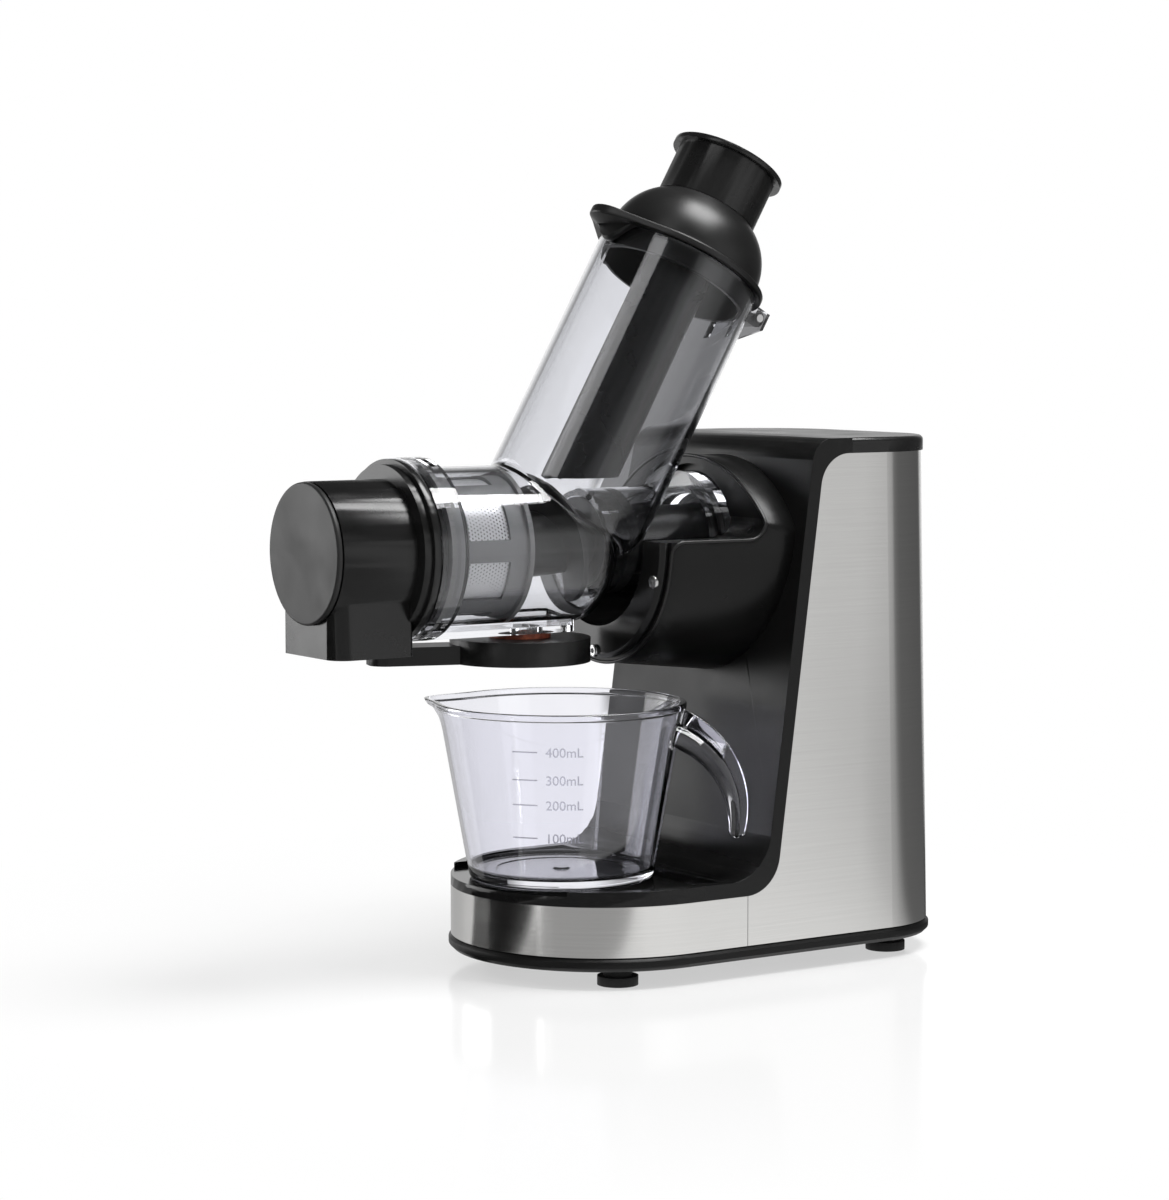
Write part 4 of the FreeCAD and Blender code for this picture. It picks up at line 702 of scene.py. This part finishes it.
def arc(start: Flat, end: Flat, radius: float, count: int) -> List[Flat]:
    """Points on a clockwise arc between two points.

    Args:
        start: First point.
        end: Last point.
        radius: Radius of the arc.
        count: Number of steps.

    Returns:
        The points, with both ends.
    """
    a, b = Vector(start), Vector(end)
    chord = b - a
    rise = math.sqrt(max(radius * radius - chord.length_squared / 4, 0.0))
    centre = (a + b) / 2 + Vector((chord.y, -chord.x)).normalized() * rise
    first = math.atan2(a.y - centre.y, a.x - centre.x)
    last = math.atan2(b.y - centre.y, b.x - centre.x)
    if last > first:
        last -= 2 * math.pi
    angles = [first + (last - first) * step / count for step in range(count + 1)]
    return [(centre.x + radius * math.cos(angle), centre.y + radius * math.sin(angle)) for angle in angles]


def rounded(corners: Sequence[Corner], steps: int = 4, room: float = 0.45,
            guard: float = 1.1) -> List[Flat]:
    """Points of an outline with rounded corners.

    Args:
        corners: Place of each corner, and how far from it the rounding starts, where 0 keeps it sharp.
        steps: Number of steps in a rounding.
        room: Largest share of a side that one rounding takes.
        guard: Place of the extra point beside a rounding, which keeps the side flat when it is shaded.

    Returns:
        The points.
    """
    points: List[Vector] = []
    for number, (first, second, start) in enumerate(corners):
        here = Vector((first, second))
        if not start:
            points.append(here)
            continue
        before = Vector(corners[number - 1][:2]) - here
        after = Vector(corners[number + 1][:2]) - here
        reach = min(start, room * before.length, room * after.length)
        enter, leave = before.normalized() * reach, after.normalized() * reach
        shares = [step / steps for step in range(steps + 1)]
        points.append(here + enter * guard)
        points += [here + enter * (1 - share) ** 2 + leave * share ** 2 for share in shares]
        points.append(here + leave * guard)
    return [(point.x, point.y) for point in points]


@dataclass
class MeasuringJug:
    """Clear jug with a beaded rim, a spout, a hook handle and raised marks."""

    finishes: Finishes
    axis_y: float = -27.0
    turn: float = -49.0
    low: float = 45.3
    top: float = 132.4
    base_radius: float = 45.5
    rim_radius: float = 61.2
    wall: float = 1.9
    floor: float = 4.2
    bead: float = 0.9
    bead_height: float = 3.8
    foot_ring: float = 6.4
    foot_rise: float = 1.2
    foot_rounds: Point = (1.5, 0.8, 2.4)
    rim_rounds: Sequence[float] = (0.4, 0.6, 1.0, 0.9)
    floor_round: float = 2.6
    dish_round: float = 0.8
    dish_margin: float = 12.0
    dish_depth: float = 0.4
    nub_radius: float = 3.4
    nub_rise: float = 0.8
    spout_reach: float = 71.0
    spout_spread: float = 13.0
    spout_drop: float = 15.0
    spout_curl: float = 1.4
    spout_levels: Sequence[float] = (1.0, 0.75, 0.5, 0.3)
    handle_out: float = 93.5
    handle_tip: float = 68.0
    handle_root: float = 21.0
    handle_head: float = 1.26
    handle_half: float = 6.5
    handle_thick: float = 8.0
    handle_grip: float = 0.58
    handle_web: float = 0.22
    handle_edge: float = 0.95
    handle_steps: int = 28
    grip_steps: int = 12
    tip_turns: Sequence[float] = (26, 52, 78)
    outer_curve: float = 50.0
    inner_curve: float = 41.0
    marks_turn: float = -33.1
    mark_line: float = 12.4
    mark_start: float = -24.0
    mark_steps: int = 12
    mark_section: Sequence[Flat] = ((-0.3, -0.15), (0.3, -0.15), (0.2, 0.3), (-0.2, 0.3))
    text_start: float = -7.6
    text_size: float = 6.6
    text_depth: float = 0.2
    text_proud: float = 0.1
    text_middle: float = 0.35
    marks: Sequence[Tuple[str, float]] = (("100mL", 71.5), ("200mL", 87.9), ("300mL", 100.3),
                                          ("400mL", 114.1))
    segments: int = 120

    def wall_radius(self, height: float) -> float:
        """Outer radius of the wall at a height."""
        share = (height - self.low) / (self.top - self.low)
        return self.base_radius + (self.rim_radius - self.base_radius) * share

    def placed(self, across: float, out: float, height: float) -> Vector:
        """A point given by the jug's own directions, in the frame."""
        local = Matrix.Rotation(math.radians(self.turn), 3, "Z") @ Vector((across, out, height))
        return (local + Vector((0, self.axis_y, 0))) * MM

    def profile(self) -> List[Flat]:
        """Section of the wall, from the middle below to the middle above.

        Returns:
            Radius and height of each point.
        """
        low, top, wall, base = self.low, self.top, self.wall, self.base_radius
        rise, deck, neck = low + self.foot_rise, low + self.floor, top - self.bead_height
        foot, lip, inner = base - self.foot_ring, self.rim_radius + self.bead, self.wall_radius(deck) - wall
        dish, edge, soft = deck - self.dish_depth, inner - self.dish_margin, self.dish_round
        nub, crest = self.nub_radius, dish + self.nub_rise
        heights = [top - self.spout_drop * share for share in self.spout_levels]
        outside = [(self.wall_radius(height), height, 0.0) for height in heights]
        inside = [(radius - wall, height, 0.0) for radius, height, _ in reversed(outside)]
        hollow, ring, heel = self.foot_rounds
        below = [(0.0, rise, 0.0), (foot - self.foot_rise, rise, hollow), (foot, low, ring),
                 (base, low, heel)]
        under, belly, brow, mouth = self.rim_rounds
        rim = [(self.wall_radius(neck), neck, under), (lip, neck + self.bead, belly), (lip, top, brow),
               (self.rim_radius - wall, top, mouth)]
        above = [(inner, deck, self.floor_round), (edge, deck, soft), (edge - self.dish_depth, dish, soft),
                 (nub + self.nub_rise, dish, soft), (nub, crest, soft), (0.0, crest, 0.0)]
        return rounded(below + outside + rim + inside + above)

    def body_skin(self) -> Skin:
        """Lathe the section and pull the spout out of the rim.

        Returns:
            Points and faces.
        """
        rings = []
        lip = self.spout_reach - self.rim_radius - self.bead
        for radius, height in self.profile():
            ring = []
            pull = max(0.0, (height - self.top + self.spout_drop) / self.spout_drop)
            for angle in full_turn(self.segments):
                away = math.degrees(math.atan2(math.sin(angle), math.cos(angle))) / self.spout_spread
                reach = radius + lip * pull ** self.spout_curl * math.exp(-away * away)
                ring.append(self.placed(reach * math.sin(angle), -reach * math.cos(angle), height))
            rings.append(ring)
        return skin(rings, capped=False)

    def handle_skin(self) -> Skin:
        """Loft the hook: a round grip inside and a thin web outside.

        Returns:
            Points and faces.
        """
        far, tip, thick = self.handle_out, self.handle_tip, self.handle_thick
        end = tip + thick / 2
        high, low = self.top - self.handle_head, self.top - self.handle_root
        roots = [(self.wall_radius(height) - self.wall / 2, height) for height in (high, low)]
        outer = arc(roots[0], (far, end), self.outer_curve, self.handle_steps)
        inner = arc(roots[1], (far - thick, end), self.inner_curve, self.handle_steps)
        web, grip, edge = self.handle_web, self.handle_grip, self.handle_edge
        turns = [math.pi * step / self.grip_steps for step in range(self.grip_steps - 1)]
        section = [(grip * (1 - math.cos(turn)) - 1.0, math.sin(turn)) for turn in turns]
        section += [(2 * grip - edge, web), (edge, web), (1.0, web / 2)]
        loop = section + [(along, -half) for along, half in section[:0:-1]]
        tips = [math.radians(degrees) for degrees in self.tip_turns]
        ends = [(1.0, 0.0)] * len(outer) + [(math.cos(turn), thick / 2 * math.sin(turn)) for turn in tips]
        pairs = list(zip(outer, inner)) + [(outer[-1], inner[-1])] * len(tips)
        rings = []
        for (high_edge, low_edge), (share, drop) in zip(pairs, ends):
            middle = (Vector(high_edge) + Vector(low_edge)) / 2 - Vector((0, drop))
            reach = (Vector(high_edge) - Vector(low_edge)) / 2 * share
            wide = self.handle_half * share
            rings.append([self.placed(wide * half, *(middle + reach * along)) for along, half in loop])
        return skin(rings)

    def wrapped(self, across: float, height: float, proud: float) -> Vector:
        """A point on the outside of the wall.

        Args:
            across: Length round the wall from the middle of the marks.
            height: Height.
            proud: How far it stands out of the wall.

        Returns:
            The point in the frame.
        """
        radius = self.wall_radius(height) + proud
        angle = math.radians(self.marks_turn) + across / self.wall_radius(height)
        return Vector((radius * math.cos(angle), self.axis_y + radius * math.sin(angle), height)) * MM

    def line_skin(self, height: float) -> Skin:
        """One raised line.

        Args:
            height: Height of the line.

        Returns:
            Points and faces.
        """
        rings = []
        for step in range(self.mark_steps + 1):
            across = self.mark_start + self.mark_line * step / self.mark_steps
            rings.append([self.wrapped(across, height + up, proud) for up, proud in self.mark_section])
        return skin(rings)

    def text_skin(self, words: str, height: float) -> Skin:
        """Raised figures wrapped on the wall.

        Args:
            words: The figures.
            height: Height of their middle.

        Returns:
            Points and faces.
        """
        curve = bpy.data.curves.new("mark_words", "FONT")
        curve.body, curve.size, curve.extrude = words, self.text_size, self.text_depth
        item = bpy.data.objects.new("mark_words", curve)
        mesh = bpy.data.meshes.new_from_object(item)
        low = height - self.text_size * self.text_middle
        spots = [point.co for point in mesh.vertices]
        points = [self.wrapped(self.text_start + spot.x, low + spot.y, spot.z + self.text_proud)
                  for spot in spots]
        faces = [list(face.vertices) for face in mesh.polygons]
        for block, used in ((bpy.data.objects, item), (bpy.data.curves, curve), (bpy.data.meshes, mesh)):
            block.remove(used)
        return points, faces

    def build(self) -> None:
        """Build the jug and its marks."""
        clear, frosted = self.finishes.materials["jug_clear"], self.finishes.materials["jug_mark"]
        jug = make_piece("jug_moulding", self.body_skin(), clear, "jug", sharp=60.0)
        handle = make_piece("jug_hook", self.handle_skin(), clear, "jug", sharp=60.0)
        combine(jug, handle, "UNION")
        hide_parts("jug")
        for words, height in self.marks:
            for kind, shape in (("line", self.line_skin(height)), ("figures", self.text_skin(words, height))):
                mark = make_piece(f"jug_{kind}_{words}", shape, frosted, "jug")


@dataclass
class FeedLid:
    """Black lid of the feed tube: round dome, flange with a finger visor, and hinge knuckle."""

    finishes: Finishes
    foot_y: float = -34.8
    foot_z: float = DRUM_AXIS
    tilt: float = 30.0
    seat: float = 155.5
    flange: float = 45.0
    thick: float = 3.3
    wall: float = 2.5
    spigot: float = 38.6
    spigot_drop: float = 10.0
    dome_foot: float = 163.0
    dome_base: float = 40.0
    dome_top: float = 188.0
    dome_neck: float = 26.3
    dome_curve: float = 31.0
    dome_steps: int = 16
    turn_step: int = 3
    guide: float = 17.8
    guide_length: float = 10.0
    edge: float = 1.0
    fillet: float = 3.0
    spigot_round: float = 0.6
    guide_round: float = 0.4
    lining_drop: float = 1.75
    visor_tip: float = 57.5
    visor_round: float = 14.0
    visor_span: float = 80.0
    visor_steps: int = 64
    visor_inset: float = 0.06
    visor_lip: float = 1.3
    hook_inner: float = 42.3
    hook_drop: float = 9.5
    hook_thick: float = 2.3
    hook_span: float = 21.0
    hook_belly: float = 0.42
    lip_belly: float = 0.6
    slot_half: float = 14.0
    slot_inner: float = 46.0
    slot_wide: float = 4.6
    slot_end: float = 0.2
    slot_steps: int = 8
    knuckle_out: float = 49.0
    knuckle_eye: float = 4.5
    knuckle_half: float = 7.2
    knuckle_root: float = 39.8
    knuckle_sunk: float = 0.1
    knuckle_step: int = 15
    pin_along: float = 155.0

    def placed(self, across: float, front: float, along: float) -> Vector:
        """A point by the lid's own directions.

        Args:
            across: To the right.
            front: Towards the visor.
            along: Up the tube.

        Returns:
            The point in the frame.
        """
        sine, cosine = math.sin(math.radians(self.tilt)), math.cos(math.radians(self.tilt))
        return Vector((across, self.foot_y + along * sine - front * cosine,
                       self.foot_z + along * cosine + front * sine)) * MM

    def around(self, radius: float, degrees: float, along: float) -> Vector:
        """A point by a radius and a turn from the visor's middle."""
        turn = math.radians(degrees)
        return self.placed(radius * math.sin(turn), radius * math.cos(turn), along)

    def dome_skin(self) -> Skin:
        """Turn the section of the dome, flange and spigot.

        Returns:
            Points and faces.
        """
        seat, top, wall, guide = self.seat, self.seat + self.thick, self.wall, self.guide
        low, crown, sleeve = seat - self.spigot_drop, self.dome_top, self.dome_top - self.guide_length
        crest, liner = (crown - self.edge / 2, self.dome_neck), self.spigot - wall
        bulge = arc((self.dome_foot, self.dome_base), crest, self.dome_curve, self.dome_steps)
        dome = [(along, radius, 0.0) for along, radius in bulge]
        lining = [(along - self.lining_drop, radius - wall, 0.0) for along, radius in reversed(bulge)]
        section = rounded([
            (low, liner, 0.0), (low, self.spigot, self.spigot_round), (seat, self.spigot, 0.0),
            (seat, self.flange, self.edge), (top, self.flange, self.edge), (top, self.dome_base, self.fillet),
            *dome, (crown, self.dome_neck - self.edge / 2, 0.0), (crown, guide, self.guide_round),
            (sleeve, guide, 0.0), (sleeve, guide + wall, 0.0), (crown - wall, guide + wall, 0.0), *lining,
            (top, liner, 0.0), (low, liner, 0.0),
        ])
        turns = range(0, 360, self.turn_step)
        rings = [[self.around(radius, degrees, along) for degrees in turns] for along, radius in section]
        return skin(rings, capped=False)

    def outline(self, degrees: float) -> float:
        """Radius of the visor's edge: the flange and a smaller round tip, joined by tangents.

        Args:
            degrees: Turn from the visor's middle.

        Returns:
            The radius.
        """
        turn = abs(math.radians(degrees))
        middle = self.visor_tip - self.visor_round
        lean = math.acos((self.flange - self.visor_round) / middle)
        if turn >= lean:
            return self.flange
        tip = math.atan2(self.visor_round * math.sin(lean), middle + self.visor_round * math.cos(lean))
        if turn >= tip:
            return self.flange / math.cos(lean - turn)
        across = middle * math.sin(turn)
        return middle * math.cos(turn) + math.sqrt(self.visor_round ** 2 - across ** 2)

    def visor_skin(self) -> Skin:
        """Loft the visor round the front of the flange, with the hook that snaps over the tube.

        Returns:
            Points and faces.
        """
        seat, top = self.seat, self.seat + self.thick
        rings = []
        for step in range(self.visor_steps + 1):
            degrees = self.visor_span * (2 * step / self.visor_steps - 1)
            edge = self.outline(degrees) - self.visor_inset
            away = min(1.0, abs(degrees) / self.hook_span)
            drop = self.hook_drop * (1 - away * away) ** 2
            lip = self.visor_lip * max(0.0, (edge - self.flange) / (self.visor_tip - self.flange))
            root = min(self.hook_inner + self.hook_thick, edge - self.hook_thick)
            section = rounded([
                (self.hook_inner, top, 0.0), (edge, top, self.edge), (edge, seat - lip, self.edge),
                ((edge + root) / 2, seat - max(drop * self.hook_belly, lip * self.lip_belly), self.edge),
                (root, seat - drop, self.edge / 2), (self.hook_inner, seat - drop, 0.0),
            ])
            rings.append([self.around(radius, degrees, along) for radius, along in section])
        return skin(rings)

    def slot_skin(self) -> Skin:
        """Lens-shaped cutter for the slot in the visor.

        Returns:
            Points and faces.
        """
        shares = [step / self.slot_steps - 1 for step in range(2 * self.slot_steps + 1)]
        widths = [share * self.slot_half for share in shares]
        near = [(across, math.sqrt(self.slot_inner ** 2 - across ** 2)) for across in widths]
        far = [(across, front + self.slot_wide * (1 - share * share) + self.slot_end)
               for share, (across, front) in zip(shares, near)]
        loop = near + far[::-1]
        levels = (self.seat - self.hook_drop * 2, self.seat + self.thick * 2)
        return skin([[self.placed(across, front, along) for across, front in loop] for along in levels])

    def knuckle_skin(self) -> Skin:
        """Block behind the flange, rounded about the hinge pin.

        Returns:
            Points and faces.
        """
        eye, out, root = self.knuckle_eye, self.knuckle_out, self.knuckle_root
        top = self.seat + self.thick - self.knuckle_sunk
        turns = [math.radians(degrees) for degrees in range(90, -91, -self.knuckle_step)]
        loop = [(-root, top), (-out, top)]
        loop += [(-out - eye * math.cos(turn), self.pin_along + eye * math.sin(turn)) for turn in turns]
        loop += [(-self.hook_inner, self.pin_along - eye), (-self.hook_inner, self.seat), (-root, self.seat)]
        sides = (-self.knuckle_half, self.knuckle_half)
        return skin([[self.placed(across, front, along) for front, along in loop] for across in sides])

    def build(self) -> None:
        """Build the lid and its visor."""
        black = self.finishes.materials["lid_black"]
        dome = make_piece("lid_dome", self.dome_skin(), black, "drum", sharp=34.0)
        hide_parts("lid")
        visor = make_piece("lid_visor", self.visor_skin(), black, "drum", sharp=50.0)
        combine(visor, add_mesh("cutter", self.slot_skin()), "DIFFERENCE")
        knuckle = make_piece("lid_knuckle", self.knuckle_skin(), black, "drum")


@dataclass
class CollarTrim:
    """Raised lip and star-recess screws on the collar."""

    finishes: Finishes
    axis_z: float = DRUM_AXIS
    seam_y: float = -3.0
    seam_radius: float = 60.3
    seam_top: int = -9
    seam_step: int = 3
    flare: float = 0.111
    shelf: float = 213.0
    corner: float = 7.0
    hood_y: float = 50.0
    hood_round: float = 10.0
    hood_radius: float = 84.0
    hood_centre: float = 168.0
    bend_steps: int = 6
    shelf_steps: int = 8
    hood_steps: int = 16
    lip_radius: float = 0.9
    lip_sides: int = 10
    screw_front: float = -7.0
    screw_circle: float = 54.5
    screw_head: float = 3.2
    shank: float = 6.0
    recess: float = 1.3
    lobe: float = 0.28
    lobes: int = 6
    screw_sides: int = 36
    screw_angles: Tuple[float, ...] = (-18.0, -90.0, -162.0)

    def lip_path(self) -> List[Vector]:
        """Points of the lip on the right side, from the bottom of the seam to the crown of the hood.

        Returns:
            The points.
        """
        seam, hood = self.seam_radius, self.hood_radius
        turns = [math.radians(angle) for angle in range(-90, self.seam_top + 1, self.seam_step)]
        path = [Vector((seam * math.cos(turn), self.seam_y, self.axis_z + seam * math.sin(turn)))
                for turn in turns]
        quarter = [math.pi / 2 * step / self.bend_steps for step in range(1, self.bend_steps + 1)]
        start, rear = self.seam_y + self.corner, self.hood_y - self.hood_round
        shelf = [(start - self.corner * math.cos(turn), self.shelf - self.corner * (1 - math.sin(turn)))
                 for turn in quarter]
        steps = self.shelf_steps
        shelf += [(start + (rear - start) * step / steps, self.shelf) for step in range(1, steps + 1)]
        bend = self.hood_round
        shelf += [(rear + bend * math.sin(turn), self.shelf + bend * (1 - math.cos(turn)))
                  for turn in quarter]
        path += [Vector((self.side(depth, height), depth, height)) for depth, height in shelf]
        first = math.asin((self.shelf + bend - self.hood_centre) / hood)
        steps = self.hood_steps
        turns = [first + (math.pi / 2 - first) * step / steps for step in range(1, steps + 1)]
        path += [Vector((hood * math.cos(turn), self.hood_y, self.hood_centre + hood * math.sin(turn)))
                 for turn in turns]
        return path

    def side(self, depth: float, height: float) -> float:
        """Half width of the collar at a depth and a height.

        Args:
            depth: Distance to the rear.
            height: Height.

        Returns:
            The half width.
        """
        radius = self.seam_radius + (depth - self.seam_y) * self.flare
        drum = math.sqrt(radius * radius - (height - self.axis_z) ** 2)
        if height <= self.shelf:
            return drum
        hood = math.sqrt(self.hood_radius ** 2 - (height - self.hood_centre) ** 2)
        return min(drum, hood)

    def lip_skin(self, mirror: int) -> Skin:
        """Tube along the lip on one side.

        Args:
            mirror: 1 for the right side, -1 for the left.

        Returns:
            Points and faces.
        """
        path = [Vector((point.x * mirror, point.y, point.z)) for point in self.lip_path()]
        rings = []
        for number, point in enumerate(path):
            before, after = path[max(number - 1, 0)], path[min(number + 1, len(path) - 1)]
            along = (after - before).normalized()
            out = Vector((mirror, 0.0, 0.0)).cross(along)
            out = along.cross(out).normalized() if out.length > TINY else Vector((0, 0, 1))
            side = along.cross(out)
            rings.append([(point + (out * math.cos(turn) + side * math.sin(turn)) * self.lip_radius) * MM
                          for turn in full_turn(self.lip_sides)])
        return skin(rings)

    def screw_skin(self, angle: float) -> Skin:
        """Domed screw head with a six-lobed recess, and its shank.

        Args:
            angle: Place of the screw round the collar, in degrees.

        Returns:
            Points and faces.
        """
        turn = math.radians(angle)
        centre = Vector((math.cos(turn), 0, math.sin(turn))) * self.screw_circle
        centre += Vector((0, self.screw_front, self.axis_z))
        head, recess = self.screw_head, self.recess
        rows = rounded([(head / 2, self.shank, 0.0), (head / 2, 0.0, 0.0), (head, 0.0, 0.0),
                        (head, -head / 2, head / 3), (recess, -head / 2, 0.0), (recess, 0.0, 0.0)])
        rings = []
        for radius, depth in rows:
            lobe = self.lobe if radius == recess else 0.0
            turns = full_turn(self.screw_sides)
            spots = [(radius + lobe * math.cos(turn * self.lobes), turn) for turn in turns]
            rings.append([(centre + Vector((reach * math.cos(turn), depth, reach * math.sin(turn)))) * MM
                          for reach, turn in spots])
        return skin(rings)

    def build(self) -> None:
        """Build the lip and the screws."""
        black = self.finishes.materials["housing_black"]
        for side, mirror in (("right", 1), ("left", -1)):
            lip = make_piece(f"collar_lip_{side}", self.lip_skin(mirror), black, "base", sharp=60.0)
        points: List[Vector] = []
        faces: List[List[int]] = []
        for angle in self.screw_angles:
            shape = self.screw_skin(angle)
            faces += [[corner + len(points) for corner in face] for face in shape[1]]
            points += shape[0]
        steel = self.finishes.materials["screw_steel"]
        screws = make_piece("collar_screw_set", (points, faces), steel, "base", sharp=30.0)
        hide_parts("collar_screws")


@dataclass(frozen=True)
class Softbox:
    """Lamp with a bright face that looks at the machine."""

    name: str
    place: Point
    size: Flat
    glow: float
    aim: Point = (0.0, 0.0, 0.2)

    def build(self) -> None:
        """Add the lamp, whose face is white where its glow is 1."""
        data = bpy.data.lights.new(self.name, "AREA")
        data.shape = "RECTANGLE"
        data.size, data.size_y = self.size
        data.energy = self.glow * math.pi * self.size[0] * self.size[1]
        item = add_object(self.name, data)
        item.location = self.place
        item.rotation_euler = (Vector(self.aim) - Vector(self.place)).to_track_quat("-Z", "Y").to_euler()
        item.visible_camera = False


@dataclass
class Studio:
    """Camera at the photograph's angle, soft light and a pale floor."""

    yaw: float = 56.48
    pitch: float = 4.91
    camera_at: Point = (1.3628, -0.9159, 0.3221)
    focal_pixels: float = 3316.56
    image_height: float = 1200.0
    sensor: float = 36.0
    floor_size: float = 8.0
    floor_grey: float = 0.9
    floor_rough: float = 0.12
    floor_fade: Flat = (0.20, 0.45)
    floor_white: Flat = (0.55, 1.0)
    side_span: Flat = (-0.063, 0.10)
    ambient: float = 0.30
    dim: float = 0.07
    card_far: Flat = (0.7, 1.2)
    card_rise: Flat = (0.2, 0.45)
    wall_rise: Flat = (0.25, 0.6)
    lamps: Sequence[Softbox] = (
        Softbox("side_panel", (1.13, 0.68, 0.45), (1.1, 1.3), 0.15),
        Softbox("top_softbox", (0.31, 0.27, 1.19), (0.55, 0.55), 16.0),
        Softbox("left_panel", (-1.0, -0.76, 0.35), (0.8, 0.8), 2.7),
        Softbox("front_softbox", (0.46, -0.86, 1.2), (0.45, 0.5), 2.4),
        Softbox("front_strip", (0.25, -1.35, 0.35), (0.1, 1.0), 3.0),
    )

    def camera(self) -> None:
        """Set the camera."""
        data = bpy.data.cameras.new("photo_camera")
        data.sensor_width = self.sensor
        data.lens = self.focal_pixels * self.sensor / self.image_height
        item = add_object("photo_camera", data)
        item.location = self.camera_at
        item.rotation_euler = (math.radians(90 - self.pitch), 0, math.radians(self.yaw))
        bpy.context.scene.camera = item

    @staticmethod
    def rays(desk: NodeDesk) -> Tuple[Socket, Socket, Socket]:
        """Sort the rays that reach the backdrop.

        Args:
            desk: Desk of the backdrop's tree.

        Returns:
            Masks of the camera's rays, of those straight through clear pieces, and of mirrored ones.
        """
        path = desk.add("LightPath").outputs
        through = path[Ray.TRANSMISSION.value]
        deep = desk.math("GREATER_THAN", path[Ray.MIRRORED.value], 0.5)
        mirrored = desk.math("MULTIPLY", desk.math("MAXIMUM", path[Ray.GLOSSY.value], through), deep)
        straight = desk.math("MULTIPLY", through, desk.math("SUBTRACT", 1.0, deep))
        return path[Ray.CAMERA.value], straight, mirrored

    def world(self) -> None:
        """Set a grey surround with a white backdrop behind the machine."""
        world = bpy.data.worlds.new("studio")
        world.use_nodes = True
        bpy.context.scene.world = world
        desk = NodeDesk(world.node_tree)
        camera, through, mirrored = self.rays(desk)
        across, along, height = desk.parts(desk.place("Generated"))[:3]
        rise = desk.math("ABSOLUTE", height)
        cards = desk.effect(studio_round(), {0: across, 1: along})[0]
        reach = desk.spread(rise, self.card_rise, (1.0, 0.0))
        card = desk.math("MAXIMUM", desk.math("MULTIPLY", cards, reach), self.dim)
        side = desk.effect(grey_card(), {0: across, 1: along})[0]
        wall = desk.math("MULTIPLY", desk.spread(rise, self.wall_rise, (1.0, self.dim)), side)
        seen = desk.math("MULTIPLY_ADD", wall, through, desk.math("MULTIPLY", card, mirrored))
        other = desk.math("SUBTRACT", 1.0, desk.math("MAXIMUM", through, mirrored))
        strength = desk.math("MAXIMUM", camera, desk.math("MULTIPLY_ADD", other, self.ambient, seen))
        shade = desk.add("Background", {"Color": grey(1.0), "Strength": strength})
        desk.add("OutputWorld", {"Surface": shade.outputs[0]})

    def floor(self) -> None:
        """Lay the floor: white to the camera, with the shadow and a faint mirror image near the feet."""
        mesh = bpy.data.meshes.new("floor")
        half = self.floor_size / 2
        corners = [(-half, -half, 0), (half, -half, 0), (half, half, 0), (-half, half, 0)]
        mesh.from_pydata(corners, [], [(0, 1, 2, 3)])
        item = add_object("floor", mesh)
        constants = {"Base Color": grey(self.floor_grey), "Roughness": self.floor_rough}
        desk, shader = start_material("floor_pale", constants)
        camera, through, mirrored = self.rays(desk)
        place = desk.place()
        across, along = desk.parts(place)[:2]
        away = desk.add("VectorMath", {0: place}, operation="LENGTH").outputs["Value"]
        white = desk.spread(away, self.floor_fade, self.floor_white)
        bright = desk.math("MULTIPLY", desk.math("MAXIMUM", camera, through), white)
        front, back = self.side_span
        beside = desk.math("MINIMUM", desk.math("MAXIMUM", along, front), back)
        past = desk.math("SUBTRACT", along, beside)
        cards = desk.effect(studio_round(), {0: across, 1: past})[0]
        side = desk.effect(grey_card(), {0: across, 1: along})[0]
        seen = desk.math("MAXIMUM", camera, desk.spread(away, self.card_far, (1.0, side)))
        glow = desk.add("Emission", {"Color": desk.blend(mirrored, seen, cards), "Strength": 1.0})
        share = desk.math("MAXIMUM", bright, mirrored)
        mixed = desk.add("MixShader", {0: share, 1: shader.outputs[0], 2: glow.outputs[0]})
        output = next(node for node in desk.tree.nodes if node.type == "OUTPUT_MATERIAL")
        desk.feed(output, {"Surface": mixed.outputs[0]})
        mesh.materials.append(bpy.data.materials["floor_pale"])

    def build(self) -> None:
        """Set up the whole studio."""
        bpy.context.scene.view_settings.view_transform = "Standard"
        self.camera()
        self.world()
        self.floor()
        for lamp in self.lamps:
            lamp.build()
        log.info("studio set")


def main() -> None:
    """Dress the machine and set the studio."""
    logging.basicConfig(level=logging.INFO, format="%(name)s: %(message)s")
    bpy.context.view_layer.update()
    finishes = Finishes()
    finishes.dress_nodes()
    for width, nodes in SOFT_EDGES.items():
        soften(nodes, width)
    MeasuringJug(finishes).build()
    FeedLid(finishes).build()
    CollarTrim(finishes).build()
    Studio().build()


if __name__ == "__main__":
    main()
